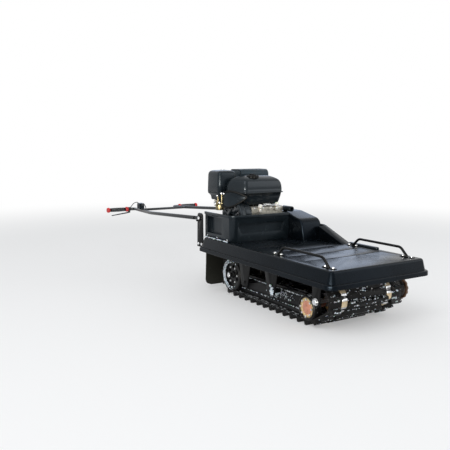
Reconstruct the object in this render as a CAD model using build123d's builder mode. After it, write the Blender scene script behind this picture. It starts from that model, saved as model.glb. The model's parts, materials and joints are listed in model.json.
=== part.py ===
from build123d import *
from math import asin, atan2, cos, hypot, pi, radians, sin, tan
import os

# A tracked snow tug: a rubber track under one black moulded hood, an open
# single cylinder engine on top at the rear and a long handlebar behind it.
# The nose points to +X, the left side is +Y, and the lug tips stand on Z = 0.
# The origin is on the ground under the middle of the overall box.

# Overall sizes
overall_length = 2700
hood_length = 1262
hood_width = 700
belt_width = 500
handlebar_width = 860
bay_length = 322
nose_x = overall_length / 2

# Rubber track: the inner face of the belt runs round three circles
belt_thickness = 8
lug_height = 22
lug_base = 28
lug_tip = 14
lug_sink = 3
lug_count = 35
window_length = 32
window_width = 44
window_column_y = 156
clip_plate = 2.5
clip_width = 36
clip_clearance = 0.3
bore_fit = 0.3
ground_to_belt = belt_thickness + lug_height

# Front wheels, rear wheels and the drive axle, by distance behind the nose
drive_back = 183
drive_z = 152
drive_radius = 65
front_wheel_back = 276
front_wheel_radius = 67
rear_wheel_in = 67
rear_wheel_radius = 97
running_gap = 0.3

# Wheels and axles
tyre_height = 13
wheel_width = 35
inner_wheel_y = 78
hub_web = 8
hub_boss_radius = 22
axle_diameter = 20
axle_overhang = 11
hub_bolt_count = 8
hub_bolt_radius = 5
hub_bolt_height = 4
hub_hole_count = 6
hub_hole_radius = 13
drive_shaft_diameter = 25
sprocket_width = 20
sprocket_teeth = 7
sprocket_tooth_length = 13
sprocket_tooth_height = 7
sprocket_rim_drop = 2.5

# Side beams of the suspension, with the sliding shoes under them
beam_y = 200
beam_thickness = 30
beam_bottom_z = 52
beam_top_z = 150
beam_end_radius = 30
beam_wall_relief = 8
beam_panel_margin = 24
cross_tube_diameter = 26
cross_tube_place_shares = (0.3885, 0.744)
cross_tube_z = 122

# Frame
rail_y = 285
rail_width = 25
rail_height = 38
rail_bottom_z = 262
rail_front_back = 60
rail_rear_in = 405
frame_tube = 38
frame_tube_backs = (85, 640)
frame_tube_ins = (-35, 250, 386)
plate_thickness = 6
bracket_width = 64
bracket_foot_radius = 28
hanger_top_width = 130
hanger_bottom_width = 60
hanger_foot_z = 96
hanger_bolt_radius = 9
hanger_bolt_height = 6
hanger_bolt_step = 26
hanger_foot_radius = 18
hood_post_y = 205
hood_post_diameter = 22
engine_beam_y = 105
engine_beam_width = 30
engine_beam_height = 28
upright_width = 75
upright_top_width = 66
upright_top_z = 484
pivot_in = 368
pivot_z = 451
pivot_diameter = 12
pivot_clearance = 0.3

# Hitch clevis behind the frame
clevis_width = 50
clevis_length = 62
clevis_plate = 8
clevis_bore = 16
clevis_edge = 24

# Snow flap
flap_width = 560
flap_thickness = 6
flap_bottom_z = 25
flap_top_z = 292
flap_corner_radius = 30

# Hood
hood_wall = 4
lip_z = 250
deck_z = 337
hood_inset = 30
hood_corner_radius = 48
lip_reach = 9
lip_height = 11
deck_edge_radius = 15
rear_gap = 3
groove_width = 8
groove_depth = 2
groove_bow = 14
groove_margin = 62
groove_place_shares = (0.23, 0.341, 0.452, 0.563)

# Engine box at the rear of the hood
box_right_y = -290
box_left_y = 135
box_top_z = 500
box_wall = 5
box_panel = 16
box_corner_radius = 38
box_rim_reach = 6
box_rim_height = 16
box_rim_radius = 5.5
recess_depth = 10
recess_bottom_z = 389
recess_top_z = 447
recess_margin = 38
recess_taper = 30
pocket_front_in = 120
pocket_rear_in = 296
pocket_low_z = 368
pocket_high_z = 474
pocket_depth = 26
well_margin = 8
well_rear_in = 286

# Cover over the drive at the left of the engine, and the ramp beside it
cover_left_y = 292
cover_front_ahead = 155
cover_crown_in = 60
cover_crown_radius = 200
cover_brow_ahead = 125
cover_brow_z = 463
cover_brow_radius = 55
cover_corner_radius = 12
ramp_inner_y = 250
ramp_outer_y = 314
ramp_start_ahead = 375
ramp_end_ahead = 140
ramp_top_z = 428
ramp_edge_radius = 8
cover_gap = 0.2

# Pad, duct and rails on the deck
pad_front_back = 330
pad_rear_back = 560
pad_width = 26
pad_height = 14
pad_y = 300
duct_diameter = 35
duct_wall = 4
duct_length = 85
duct_in = 8
duct_y = 166
deck_rail_diameter = 14
deck_rail_height = 54
deck_rail_y = 272
deck_rail_front_back = 100
deck_rail_rear_back = 505
deck_rail_slope = 48
deck_rail_bend = 40
foot_plate_length = 78
foot_plate_width = 26
foot_plate_thickness = 3
dome_nut_spacing = 56
dome_nut_radius = 8
dome_nut_height = 11

# Final drive chain on the left
chain_y = 307
chain_width = 12
chain_height = 9
final_sprocket_radius = 58
jackshaft_back = 420
jackshaft_z = 281
jackshaft_radius = 26
jackshaft_diameter = 20
jackshaft_right_y = -300
chain_pitch = 25.4
chain_knob_height = 3
chain_knob_share = 0.45
axle_nut_radius = 16
axle_nut_height = 10

# Engine: the crankshaft runs along Y, the cylinder leans to the rear
engine_base_z = 346
platform_thickness = 6
platform_front_in = 25
platform_rear_in = 378
platform_right_y = -175
platform_left_y = 130
crank_in = 145
crank_z = 456
crankcase_front_in = 45
crankcase_rear_in = 252
crankcase_half_width = 118
crankcase_top_z = 540
crankcase_edge_radius = 14
cylinder_lean = 25
cylinder_length = 214
cylinder_half_width = 64
cylinder_half_height = 58
fin_count = 6
fin_thickness = 3.5
fin_pitch = 11
fin_reach = 14
fin_start = 112
head_cover_length = 30
head_cover_half_width = 46
head_cover_half_height = 44
shroud_thickness = 50
shroud_radius = 104
shroud_tip_radius = 48
shroud_tip_distance = 130
shroud_tip_lean = 12
shroud_edge_radius = 12
shroud_front_in = 42
shroud_rear_in = 254
shroud_top_z = 559
shroud_corner_radius = 62
recoil_radius = 118
recoil_rise = 10
recoil_thickness = 34
recoil_slot_count = 10
recoil_slot_length = 34
recoil_slot_width = 9
recoil_slot_radius = 76
recoil_cup_radius = 30
recoil_cup_depth = 10
recoil_handle_length = 62
recoil_handle_radius = 11
recoil_handle_angle = 62
tank_front_in = 68
tank_rear_in = 210
tank_right_y = -166
tank_left_y = 137
tank_bottom_z = 562
tank_seam_z = 619
tank_top_z = 728
tank_seam_reach = 6
tank_seam_height = 6
tank_edge_radius = 40
tank_crown_radius = 36
tank_belly_radius = 16
tank_post_width = 22
fuel_cap_radius = 26
fuel_cap_height = 16
fuel_cap_flats = 12
fuel_cap_in = 142
fuel_cap_y = -42
filter_front_in = 212
filter_rear_in = 352
filter_right_y = -252
filter_left_y = -120
filter_bottom_z = 580
filter_bowl_z = 612
filter_bowl_inset = 14
filter_top_z = 748
filter_edge_radius = 32
filter_crown_radius = 17
filter_seam_z = 640
filter_seam_reach = 4
filter_knob_radius = 12
filter_knob_height = 11
muffler_front_in = 225
muffler_rear_in = 348
muffler_right_y = -84
muffler_left_y = 130
muffler_bottom_z = 640
muffler_top_z = 757
muffler_edge_radius = 26
guard_gap = 6
guard_plate = 2
guard_slot_count = 9
guard_slot_width = 10
guard_slot_length = 78
exhaust_diameter = 34
port_boss_radius = 20
cowl_front_in = 218
cowl_rear_in = 262
cowl_half_width = 98
cowl_top_z = 612
cowl_edge_radius = 12
exhaust_port_z = 608
carburettor_in = 286
carburettor_right_y = -236
carburettor_left_y = -104
carburettor_z = 553
carburettor_bowl_y = -203
carburettor_radius = 21
carburettor_bowl_radius = 26
carburettor_bowl_height = 36
intake_radius = 19
oil_cap_radius = 13
oil_cap_height = 17
oil_cap_ys = (-55, 72)
oil_cap_z = 524
oil_neck_lean = 40
oil_cap_flats = 8

# Handlebar: two side tubes from the pivots, bent outward into the grips
bar_diameter = 25
bar_y = 310
bar_start = 62
bar_taper_length = 615
bar_bend_reach = 62
bar_end_bend = 34
bar_side_bend = 520
bar_droop = 3.1
eye_plate_half_height = 12
cross_bar_setback = 195
cross_bar_diameter = 20
grip_length = 140
grip_diameter = 33
grip_collar_length = 24
grip_collar_diameter = 38
grip_fit = 0.1
stop_pin_radius = 5
stop_pin_in = 396
pivot_head_radius = 11
pivot_head_height = 7
switch_box_size = 58
switch_box_width = 40
switch_box_height = 46
switch_box_setback = 255
lever_clamp_width = 18
lever_clamp_wall = 5
lever_thickness = 6
lever_drop = 44
lever_length = 165
cable_diameter = 6
# Routes of the two control cables. Columns: distance from the bar's rear end
# towards the pivot, shift outward of the tube's axis, height above the axis
brake_cable_route = (
    (19.8, 49, 0),
    (52, 45, 24),
    (90, 24, 56),
    (130, 0, 64),
    (164, -8, 44),
    (178, -3, 13.6),
)
throttle_cable_route = (
    (285, 0, 34),
    (322, 3, 40),
    (366, 10, 62),
    (414, 8, 60),
    (448, 1, 42),
    (460, 0, 13.7),
)
overrun = 20

os.makedirs("parts", exist_ok=True)


def back(distance):
    """The X of a point that lies this far behind the nose."""
    return nose_x - distance


def bay(distance):
    """The X of a point that lies this far behind the front of the engine bay."""
    return nose_x - hood_length + bay_length - distance


def side_plane(y):
    """An upright plane across Y, drawn in X and Z. Negative extrusions go to +Y."""
    return Plane.XZ.offset(-y)


def block(x_low, x_high, y_low, y_high, z_low, z_high, mode=Mode.ADD):
    """A box between two corners."""
    middle = ((x_low + x_high) / 2, (y_low + y_high) / 2, (z_low + z_high) / 2)
    with Locations(middle):
        Box(x_high - x_low, y_high - y_low, z_high - z_low, mode=mode)


def rod(x, z, radius, y_low, y_high, mode=Mode.ADD):
    """A cylinder along Y between two sides."""
    with Locations(Location((x, (y_low + y_high) / 2, z), (90, 0, 0))):
        Cylinder(radius, y_high - y_low, mode=mode)


# Circles that the inner face of the belt wraps, in the order of a walk that
# goes forward along the ground: x, z, radius
front_wheel_z = ground_to_belt + front_wheel_radius
rear_wheel_z = ground_to_belt + rear_wheel_radius
track_circles = (
    (bay(rear_wheel_in), rear_wheel_z, rear_wheel_radius),
    (back(front_wheel_back), front_wheel_z, front_wheel_radius),
    (back(drive_back), drive_z, drive_radius),
)
chain_circles = (
    (back(jackshaft_back), jackshaft_z, jackshaft_radius),
    (back(drive_back), drive_z, final_sprocket_radius),
)


def tangent_normal(first, second):
    """Angle of the outward normal of the run that joins two circles."""
    dx, dz = second[0] - first[0], second[1] - first[1]
    gap = hypot(dx, dz)
    return atan2(dz, dx) - pi / 2 + asin((first[2] - second[2]) / gap)


def loop_pieces(circles):
    """Straight runs and arcs of a band round the circles, each with its length."""
    pieces = []
    count = len(circles)
    for i in range(count):
        here, after, last = circles[i], circles[(i + 1) % count], circles[(i + 2) % count]
        turn = tangent_normal(here, after)
        x0, z0 = here[0] + here[2] * cos(turn), here[1] + here[2] * sin(turn)
        x1, z1 = after[0] + after[2] * cos(turn), after[1] + after[2] * sin(turn)
        pieces.append(("run", x0, z0, turn, hypot(x1 - x0, z1 - z0)))
        sweep_angle = (tangent_normal(after, last) - turn) % (2 * pi)
        pieces.append(("arc", after, turn, sweep_angle, sweep_angle * after[2]))
    return pieces


def loop_length(circles):
    """Length of the band along the circles."""
    return sum(piece[4] for piece in loop_pieces(circles))


def loop_at(circles, distance):
    """Point and normal angle of the band at a distance along it."""
    rest = distance % loop_length(circles)
    for kind, a, b, c, length in loop_pieces(circles):
        if rest <= length:
            break
        rest -= length
    if kind == "run":
        along = c + pi / 2
        return a + rest * cos(along), b + rest * sin(along), c
    angle = b + rest / a[2]
    return a[0] + a[2] * cos(angle), a[1] + a[2] * sin(angle), angle


def loop_outline(circles, grow):
    """Lines and arcs of the band, grown outward, as a closed outline."""
    for kind, a, b, c, length in loop_pieces(circles):
        if kind == "run":
            x, z = a + grow * cos(c), b + grow * sin(c)
            along = c + pi / 2
            Line((x, z), (x + length * cos(along), z + length * sin(along)))
        else:
            radius = a[2] + grow
            ends = [(a[0] + radius * cos(t), a[1] + radius * sin(t)) for t in (b, b + c / 2, b + c)]
            ThreePointArc(*ends)


def quad_on_loop(circles, distance, low, high, low_half, high_half, mode=Mode.ADD):
    """A four-sided patch that stands square on the band between two heights."""
    x, z, angle = loop_at(circles, distance)
    out = (cos(angle), sin(angle))
    along = (-sin(angle), cos(angle))
    corners = []
    for height, half in ((low, -low_half), (low, low_half), (high, high_half), (high, -high_half)):
        corners.append((x + out[0] * height + along[0] * half, z + out[1] * height + along[1] * half))
    Polygon(*corners, align=None, mode=mode)


def fan_on_loop(circles, distance, low, high, half, mode=Mode.ADD):
    """A four-sided patch whose two ends follow the band's own normals."""
    corners = []
    for step, height in ((-half, low), (half, low), (half, high), (-half, high)):
        x, z, angle = loop_at(circles, distance + step)
        corners.append((x + height * cos(angle), z + height * sin(angle)))
    Polygon(*corners, align=None, mode=mode)


# The belt is made in five bands across its width. The outer ones and the
# middle one carry lugs, and the two narrow ones have the drive windows.
track_length = loop_length(track_circles)
lug_pitch = track_length / lug_count
belt_half = belt_width / 2
window_low = window_column_y - window_width / 2
window_high = window_column_y + window_width / 2
# Columns: low side, high side, kind of band, shift of its lugs in pitches
belt_bands = (
    (-belt_half, -window_high, "lugs", 0.5),
    (-window_high, -window_low, "windows", 0),
    (-window_low, window_low, "lugs", 0),
    (window_low, window_high, "windows", 0),
    (window_high, belt_half, "lugs", 0.5),
)
with BuildPart() as track_belt:
    for y_low, y_high, kind, shift_share in belt_bands:
        with BuildSketch(side_plane(y_low)):
            with BuildLine():
                loop_outline(track_circles, belt_thickness)
            make_face()
            if kind == "lugs":
                for k in range(lug_count):
                    quad_on_loop(
                        track_circles, (k + shift_share) * lug_pitch,
                        belt_thickness - lug_sink, ground_to_belt, lug_base / 2, lug_tip / 2,
                    )
            with BuildLine():
                loop_outline(track_circles, 0)
            make_face(mode=Mode.SUBTRACT)
            if kind == "windows":
                for k in range(lug_count):
                    fan_on_loop(
                        track_circles, (k + 0.5) * lug_pitch,
                        -lug_sink, belt_thickness + lug_sink, window_length / 2, mode=Mode.SUBTRACT,
                    )
        extrude(amount=-(y_high - y_low))
track_belt.part.label = "track_belt"
export_step(track_belt.part, "parts/track_belt.step")

# Steel clips hold each web of belt between two windows, with one plate on
# the outer face and one on the inner face, in two columns
web_half = (lug_pitch - window_length) / 2
with BuildPart() as track_clips:
    for column_y in (-window_column_y, window_column_y):
        with BuildSketch(side_plane(column_y - clip_width / 2)):
            for k in range(lug_count):
                outer_low = belt_thickness + clip_clearance
                quad_on_loop(
                    track_circles, k * lug_pitch, outer_low, outer_low + clip_plate, web_half, web_half,
                )
                fan_on_loop(
                    track_circles, k * lug_pitch, -clip_clearance - clip_plate, -clip_clearance, web_half,
                )
        extrude(amount=-clip_width)
track_clips.part.label = "track_clips"
export_step(track_clips.part, "parts/track_clips.step")

# Wheels: rubber tyres, and hubs in one with their axle
# Columns: name, place and height of the axle, radius, holes in each web
wheel_table = (
    ("front", back(front_wheel_back), front_wheel_z, front_wheel_radius, 0),
    ("rear", bay(rear_wheel_in), rear_wheel_z, rear_wheel_radius, hub_hole_count),
)
outer_wheel_y = belt_half - wheel_width / 2
wheel_ys = (-outer_wheel_y, -inner_wheel_y, inner_wheel_y, outer_wheel_y)
for name, x, wheel_z, radius, holes in wheel_table:
    hub_radius = radius - tyre_height
    with BuildPart() as tyres:
        for y in wheel_ys:
            rod(x, wheel_z, radius - running_gap, y - wheel_width / 2, y + wheel_width / 2)
            rod(x, wheel_z, hub_radius, y - wheel_width / 2, y + wheel_width / 2, mode=Mode.SUBTRACT)
    tyres.part.label = f"{name}_tyres"
    export_step(tyres.part, f"parts/{name}_tyres.step")

    with BuildPart() as hubs:
        axle_half = belt_half + axle_overhang
        rod(x, wheel_z, axle_diameter / 2, -axle_half, axle_half)
        for y in wheel_ys:
            rod(x, wheel_z, hub_radius, y - wheel_width / 2, y + wheel_width / 2)
        for y in wheel_ys:
            for low, high in ((y - wheel_width / 2 - overrun, y - hub_web / 2),
                              (y + hub_web / 2, y + wheel_width / 2 + overrun)):
                with BuildSketch(side_plane(low)):
                    with Locations((x, wheel_z)):
                        Circle(hub_radius - hub_web)
                        Circle(hub_boss_radius, mode=Mode.SUBTRACT)
                extrude(amount=-(high - low), mode=Mode.SUBTRACT)
        bolt_circle = (hub_boss_radius + hub_radius - hub_web) / 2
        for k in range(holes):
            angle = 2 * pi * (k + 0.5) / holes
            rod(x + bolt_circle * cos(angle), wheel_z + bolt_circle * sin(angle), hub_hole_radius,
                -belt_half, belt_half, mode=Mode.SUBTRACT)
        for side in (-1, 1):
            shelf = side * (outer_wheel_y + hub_web / 2)
            for k in range(holes or hub_bolt_count):
                angle = 2 * pi * k / (holes or hub_bolt_count)
                ends = sorted((shelf, shelf + side * hub_bolt_height))
                rod(x + bolt_circle * cos(angle), wheel_z + bolt_circle * sin(angle), hub_bolt_radius, *ends)
            ends = sorted((side * belt_half, side * (belt_half + axle_overhang + hub_bolt_height)))
            rod(x, wheel_z, axle_diameter / 2 + hub_bolt_radius, *ends)
    hubs.part.label = f"{name}_hubs"
    export_step(hubs.part, f"parts/{name}_hubs.step")

# Drive axle with its two toothed drums, the large chain sprocket at the left
# end and a nut at the right end
drive_x = back(drive_back)
drum_radius = drive_radius - clip_clearance - clip_plate - sprocket_rim_drop
window_spots = [loop_at(track_circles, (k + 0.5) * lug_pitch) for k in range(lug_count)]
window_turns = [turn for x, z, turn in window_spots
                if abs(hypot(x - drive_x, z - drive_z) - drive_radius) < bore_fit]
tooth_start = window_turns[len(window_turns) // 2]
bracket_y = rail_y - rail_width / 2 + plate_thickness / 2
with BuildPart() as drive_axle:
    nut_start = -(bracket_y + plate_thickness / 2)
    rod(drive_x, drive_z, drive_shaft_diameter / 2, nut_start - axle_nut_height, chain_y + chain_width)
    rod(drive_x, drive_z, axle_nut_radius, nut_start - axle_nut_height, nut_start - running_gap)
    for y in (-window_column_y, window_column_y):
        rod(drive_x, drive_z, drum_radius, y - sprocket_width / 2, y + sprocket_width / 2)
        with BuildSketch(side_plane(y - sprocket_width / 2)):
            for k in range(sprocket_teeth):
                turn = tooth_start + 2 * pi * k / sprocket_teeth
                root, tip = drum_radius - lug_sink, drive_radius + sprocket_tooth_height
                half = sprocket_tooth_length / 2
                corners = []
                for r, w in ((root, -half), (root, half), (tip, half / 2), (tip, -half / 2)):
                    corners.append((
                        drive_x + r * cos(turn) - w * sin(turn), drive_z + r * sin(turn) + w * cos(turn),
                    ))
                Polygon(*corners, align=None)
        extrude(amount=-sprocket_width)
    rod(drive_x, drive_z, final_sprocket_radius - chain_height / 2 - running_gap,
        chain_y - chain_width / 4, chain_y + chain_width / 4)
    rod(drive_x, drive_z, axle_nut_radius, chain_y + chain_width / 4, chain_y + chain_width)
drive_axle.part.label = "drive_axle"
export_step(drive_axle.part, "parts/drive_axle.step")

with BuildPart() as drive_chain:
    chain_length = loop_length(chain_circles)
    link_count = round(chain_length / chain_pitch)
    with BuildSketch(side_plane(chain_y - chain_width / 2)):
        with BuildLine():
            loop_outline(chain_circles, chain_height / 2)
        make_face()
        for k in range(link_count):
            step = chain_length / link_count
            quad_on_loop(
                chain_circles, k * step, 0, chain_height / 2 + chain_knob_height,
                step * chain_knob_share, step * chain_knob_share / 2,
            )
        with BuildLine():
            loop_outline(chain_circles, -chain_height / 2)
        make_face(mode=Mode.SUBTRACT)
    extrude(amount=-chain_width)
drive_chain.part.label = "drive_chain"
export_step(drive_chain.part, "parts/drive_chain.step")

with BuildPart() as jackshaft:
    x = back(jackshaft_back)
    rod(x, jackshaft_z, jackshaft_diameter / 2, jackshaft_right_y, chain_y + chain_width)
    rod(x, jackshaft_z, jackshaft_radius - chain_height / 2 - running_gap,
        chain_y - chain_width / 4, chain_y + chain_width / 4)
jackshaft.part.label = "jackshaft"
export_step(jackshaft.part, "parts/jackshaft.step")

# Frame rails with the bore for the jackshaft
rail_top_z = rail_bottom_z + rail_height
rail_inner_y = rail_y - rail_width / 2
rail_outer_y = rail_y + rail_width / 2
for name, side in (("left", 1), ("right", -1)):
    with BuildPart() as frame_rail:
        low, high = sorted((side * rail_inner_y, side * rail_outer_y))
        block(bay(rail_rear_in), back(rail_front_back), low, high, rail_bottom_z, rail_top_z)
        rod(back(jackshaft_back), jackshaft_z, jackshaft_diameter / 2 + bore_fit, low - overrun,
            high + overrun, mode=Mode.SUBTRACT)
    frame_rail.part.label = f"frame_rail_{name}"
    export_step(frame_rail.part, f"parts/frame_rail_{name}.step")

# Frame cross tubes, and the two beams that carry the engine on them
frame_tube_xs = [back(distance) for distance in frame_tube_backs]
frame_tube_xs += [bay(distance) for distance in frame_tube_ins]
with BuildPart() as frame_cross_tubes:
    for x in frame_tube_xs:
        block(x - frame_tube / 2, x + frame_tube / 2, -rail_inner_y, rail_inner_y, rail_bottom_z, rail_top_z)
    beam_ends = (frame_tube_xs[3] - frame_tube / 2, frame_tube_xs[2] + frame_tube / 2)
    for y in (-engine_beam_y, engine_beam_y):
        block(*beam_ends, y - engine_beam_width / 2, y + engine_beam_width / 2,
              rail_top_z, rail_top_z + engine_beam_height)
    for x in frame_tube_xs[:3]:
        for y in (-hood_post_y, hood_post_y):
            post_height = deck_z - hood_wall - running_gap - rail_top_z
            with Locations((x, y, rail_top_z + post_height / 2)):
                Cylinder(hood_post_diameter / 2, post_height)
frame_cross_tubes.part.label = "frame_cross_tubes"
export_step(frame_cross_tubes.part, "parts/frame_cross_tubes.step")

with BuildPart() as engine_platform:
    plate_low = engine_base_z - platform_thickness
    block(bay(platform_rear_in), bay(platform_front_in), platform_right_y, platform_left_y,
          plate_low, engine_base_z)
    for y in (-engine_beam_y, engine_beam_y):
        block(bay(well_rear_in - well_margin), bay(platform_front_in), y - engine_beam_width / 2,
              y + engine_beam_width / 2, rail_top_z + engine_beam_height, plate_low)
engine_platform.part.label = "engine_platform"
export_step(engine_platform.part, "parts/engine_platform.step")

# Places of the tubes that cross the suspension between the two axles
front_axle_x, rear_axle_x = back(front_wheel_back), bay(rear_wheel_in)
cross_tube_xs = [front_axle_x + share * (rear_axle_x - front_axle_x) for share in cross_tube_place_shares]

# Plates under the rails: brackets of the drive axle, and hangers of the beams
with BuildPart() as axle_brackets:
    for side in (-1, 1):
        with BuildSketch(side_plane(side * bracket_y - plate_thickness / 2)):
            with BuildLine():
                left, right = drive_x - bracket_width / 2, drive_x + bracket_width / 2
                foot_left, foot_right = drive_x - bracket_foot_radius, drive_x + bracket_foot_radius
                Polyline((foot_left, drive_z), (left, rail_bottom_z), (right, rail_bottom_z),
                         (foot_right, drive_z))
                ThreePointArc((foot_right, drive_z), (drive_x, drive_z - bracket_foot_radius),
                              (foot_left, drive_z))
            make_face()
            with Locations((drive_x, drive_z)):
                Circle(drive_shaft_diameter / 2 + bore_fit, mode=Mode.SUBTRACT)
        extrude(amount=-plate_thickness)
axle_brackets.part.label = "axle_brackets"
export_step(axle_brackets.part, "parts/axle_brackets.step")

with BuildPart() as hanger_plates:
    for side in (-1, 1):
        out_face = side * (bracket_y + plate_thickness / 2)
        with BuildSketch(side_plane(side * bracket_y - plate_thickness / 2)):
            for x in cross_tube_xs:
                top, foot = hanger_top_width / 2, hanger_bottom_width / 2
                Polygon((x - top, rail_bottom_z), (x - foot, hanger_foot_z), (x + foot, hanger_foot_z),
                        (x + top, rail_bottom_z), align=None)
            fillet(vertices().group_by(Axis.Y)[0], radius=hanger_foot_radius)
        extrude(amount=-plate_thickness)
        for x in cross_tube_xs:
            ends = sorted((out_face, out_face + side * hanger_bolt_height))
            rod(x, cross_tube_z, hanger_bolt_radius, *ends)
            for step in (-hanger_bolt_step, hanger_bolt_step):
                rod(x + step, rail_bottom_z - hanger_bolt_step, hanger_bolt_radius * 2 / 3, *ends)
hanger_plates.part.label = "hanger_plates"
export_step(hanger_plates.part, "parts/hanger_plates.step")

with BuildPart() as suspension_tubes:
    for x in cross_tube_xs:
        rod(x, cross_tube_z, cross_tube_diameter / 2, -rail_inner_y, rail_inner_y)
suspension_tubes.part.label = "suspension_tubes"
export_step(suspension_tubes.part, "parts/suspension_tubes.step")

# Side beams with rounded ends at the axles and a pressed panel on each face
for name, side in (("left", 1), ("right", -1)):
    front_x, rear_x = front_axle_x, rear_axle_x
    y_low = side * beam_y - beam_thickness / 2
    y_high = y_low + beam_thickness
    shoe_front = front_x - front_wheel_radius / 2
    shoe_rear = rear_x + rear_wheel_radius / 2
    with BuildPart() as beam:
        with BuildSketch(side_plane(y_low)):
            Polygon((shoe_rear, beam_bottom_z), (shoe_front, beam_bottom_z),
                    (front_x, front_wheel_z - beam_end_radius), (front_x, front_wheel_z + beam_end_radius),
                    (shoe_front - beam_end_radius, beam_top_z), (shoe_rear + beam_end_radius, beam_top_z),
                    (rear_x, rear_wheel_z + beam_end_radius), (rear_x, rear_wheel_z - beam_end_radius),
                    align=None)
            with Locations((front_x, front_wheel_z), (rear_x, rear_wheel_z)):
                Circle(beam_end_radius)
        extrude(amount=-beam_thickness)
        for low, high in ((y_low - overrun, y_low + beam_wall_relief),
                          (y_high - beam_wall_relief, y_high + overrun)):
            block(shoe_rear + beam_panel_margin, shoe_front - beam_panel_margin, low, high,
                  beam_bottom_z + beam_panel_margin / 2, beam_top_z - beam_panel_margin / 2,
                  mode=Mode.SUBTRACT)
        for x, z, diameter in ((front_x, front_wheel_z, axle_diameter), (rear_x, rear_wheel_z, axle_diameter),
                               (cross_tube_xs[0], cross_tube_z, cross_tube_diameter),
                               (cross_tube_xs[1], cross_tube_z, cross_tube_diameter)):
            rod(x, z, diameter / 2 + bore_fit, y_low - overrun, y_high + overrun, mode=Mode.SUBTRACT)
    beam.part.label = f"suspension_beam_{name}"
    export_step(beam.part, f"parts/suspension_beam_{name}.step")

with BuildPart() as slide_shoes:
    for side in (-1, 1):
        y = side * beam_y
        block(shoe_rear, shoe_front, y - beam_thickness / 2, y + beam_thickness / 2,
              ground_to_belt + running_gap, beam_bottom_z - running_gap)
slide_shoes.part.label = "slide_shoes"
export_step(slide_shoes.part, "parts/slide_shoes.step")

# Rear uprights with the pivot bores and the pins that the handlebar rests on
pivot_x = bay(pivot_in)
upright_outer_y = rail_outer_y + plate_thickness
eye_gap = bore_fit
for name, side in (("left", 1), ("right", -1)):
    with BuildPart() as upright:
        y_low = min(side * rail_outer_y, side * upright_outer_y)
        with BuildSketch(side_plane(y_low)):
            half, top_half = upright_width / 2, upright_top_width / 2
            Polygon((pivot_x - half, rail_bottom_z), (pivot_x + half, rail_bottom_z),
                    (pivot_x + top_half, upright_top_z), (pivot_x - top_half, upright_top_z), align=None)
            fillet(vertices().group_by(Axis.Y)[-1], radius=upright_top_width / 3)
            with Locations((pivot_x, pivot_z)):
                Circle(pivot_diameter / 2 + pivot_clearance, mode=Mode.SUBTRACT)
        extrude(amount=-plate_thickness)
        pin_z = pivot_z - eye_plate_half_height - stop_pin_radius - eye_gap
        pin_z -= (stop_pin_in - pivot_in) * sin(radians(bar_droop))
        rod(bay(stop_pin_in), pin_z, stop_pin_radius,
            *sorted((side * (rail_outer_y + eye_gap), side * (upright_outer_y + 2 * plate_thickness))))
    upright.part.label = f"rear_upright_{name}"
    export_step(upright.part, f"parts/rear_upright_{name}.step")

with BuildPart() as pivot_bolts:
    for side in (-1, 1):
        eye_out = upright_outer_y + eye_gap + plate_thickness + eye_gap
        head_out = eye_out + pivot_head_height
        inner_face = rail_outer_y - eye_gap
        rod(pivot_x, pivot_z, pivot_diameter / 2, *sorted((side * (inner_face - pivot_head_height),
                                                          side * head_out)))
        rod(pivot_x, pivot_z, pivot_head_radius, *sorted((side * eye_out, side * head_out)))
        rod(pivot_x, pivot_z, pivot_head_radius,
            *sorted((side * (inner_face - pivot_head_height), side * inner_face)))
pivot_bolts.part.label = "pivot_bolts"
export_step(pivot_bolts.part, "parts/pivot_bolts.step")

# Hitch clevis: two plates behind the rear cross tube with one upright bore
clevis_front = bay(rail_rear_in)
clevis_bore_x = clevis_front - clevis_length + clevis_edge
with BuildPart() as hitch_clevis:
    for z_low in (rail_bottom_z, rail_top_z - clevis_plate):
        block(clevis_front - clevis_length, clevis_front, -clevis_width / 2, clevis_width / 2,
              z_low, z_low + clevis_plate)
    block(clevis_front - clevis_plate, clevis_front, -clevis_width / 2, clevis_width / 2,
          rail_bottom_z, rail_top_z)
    fillet(edges().filter_by(Axis.Z).group_by(Axis.X)[0], radius=clevis_edge / 2)
    with Locations((clevis_bore_x, 0, rail_bottom_z + rail_height / 2)):
        Cylinder(clevis_bore / 2, rail_height + overrun, mode=Mode.SUBTRACT)
hitch_clevis.part.label = "hitch_clevis"
export_step(hitch_clevis.part, "parts/hitch_clevis.step")

# Snow flap behind the track, hung on a cross tube
flap_x = frame_tube_xs[3] - frame_tube / 2 - running_gap
with BuildPart() as snow_flap:
    with BuildSketch(Plane.YZ.offset(flap_x - flap_thickness)):
        half, neck_half = flap_width / 2, rail_inner_y - running_gap
        shoulder_z = rail_bottom_z - running_gap
        Polygon((-neck_half, flap_top_z), (-neck_half, shoulder_z), (-half, shoulder_z),
                (-half, flap_bottom_z), (half, flap_bottom_z), (half, shoulder_z),
                (neck_half, shoulder_z), (neck_half, flap_top_z), align=None)
        fillet(vertices().group_by(Axis.Y)[0], radius=flap_corner_radius)
    extrude(amount=flap_thickness)
snow_flap.part.label = "snow_flap"
export_step(snow_flap.part, "parts/snow_flap.step")

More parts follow.
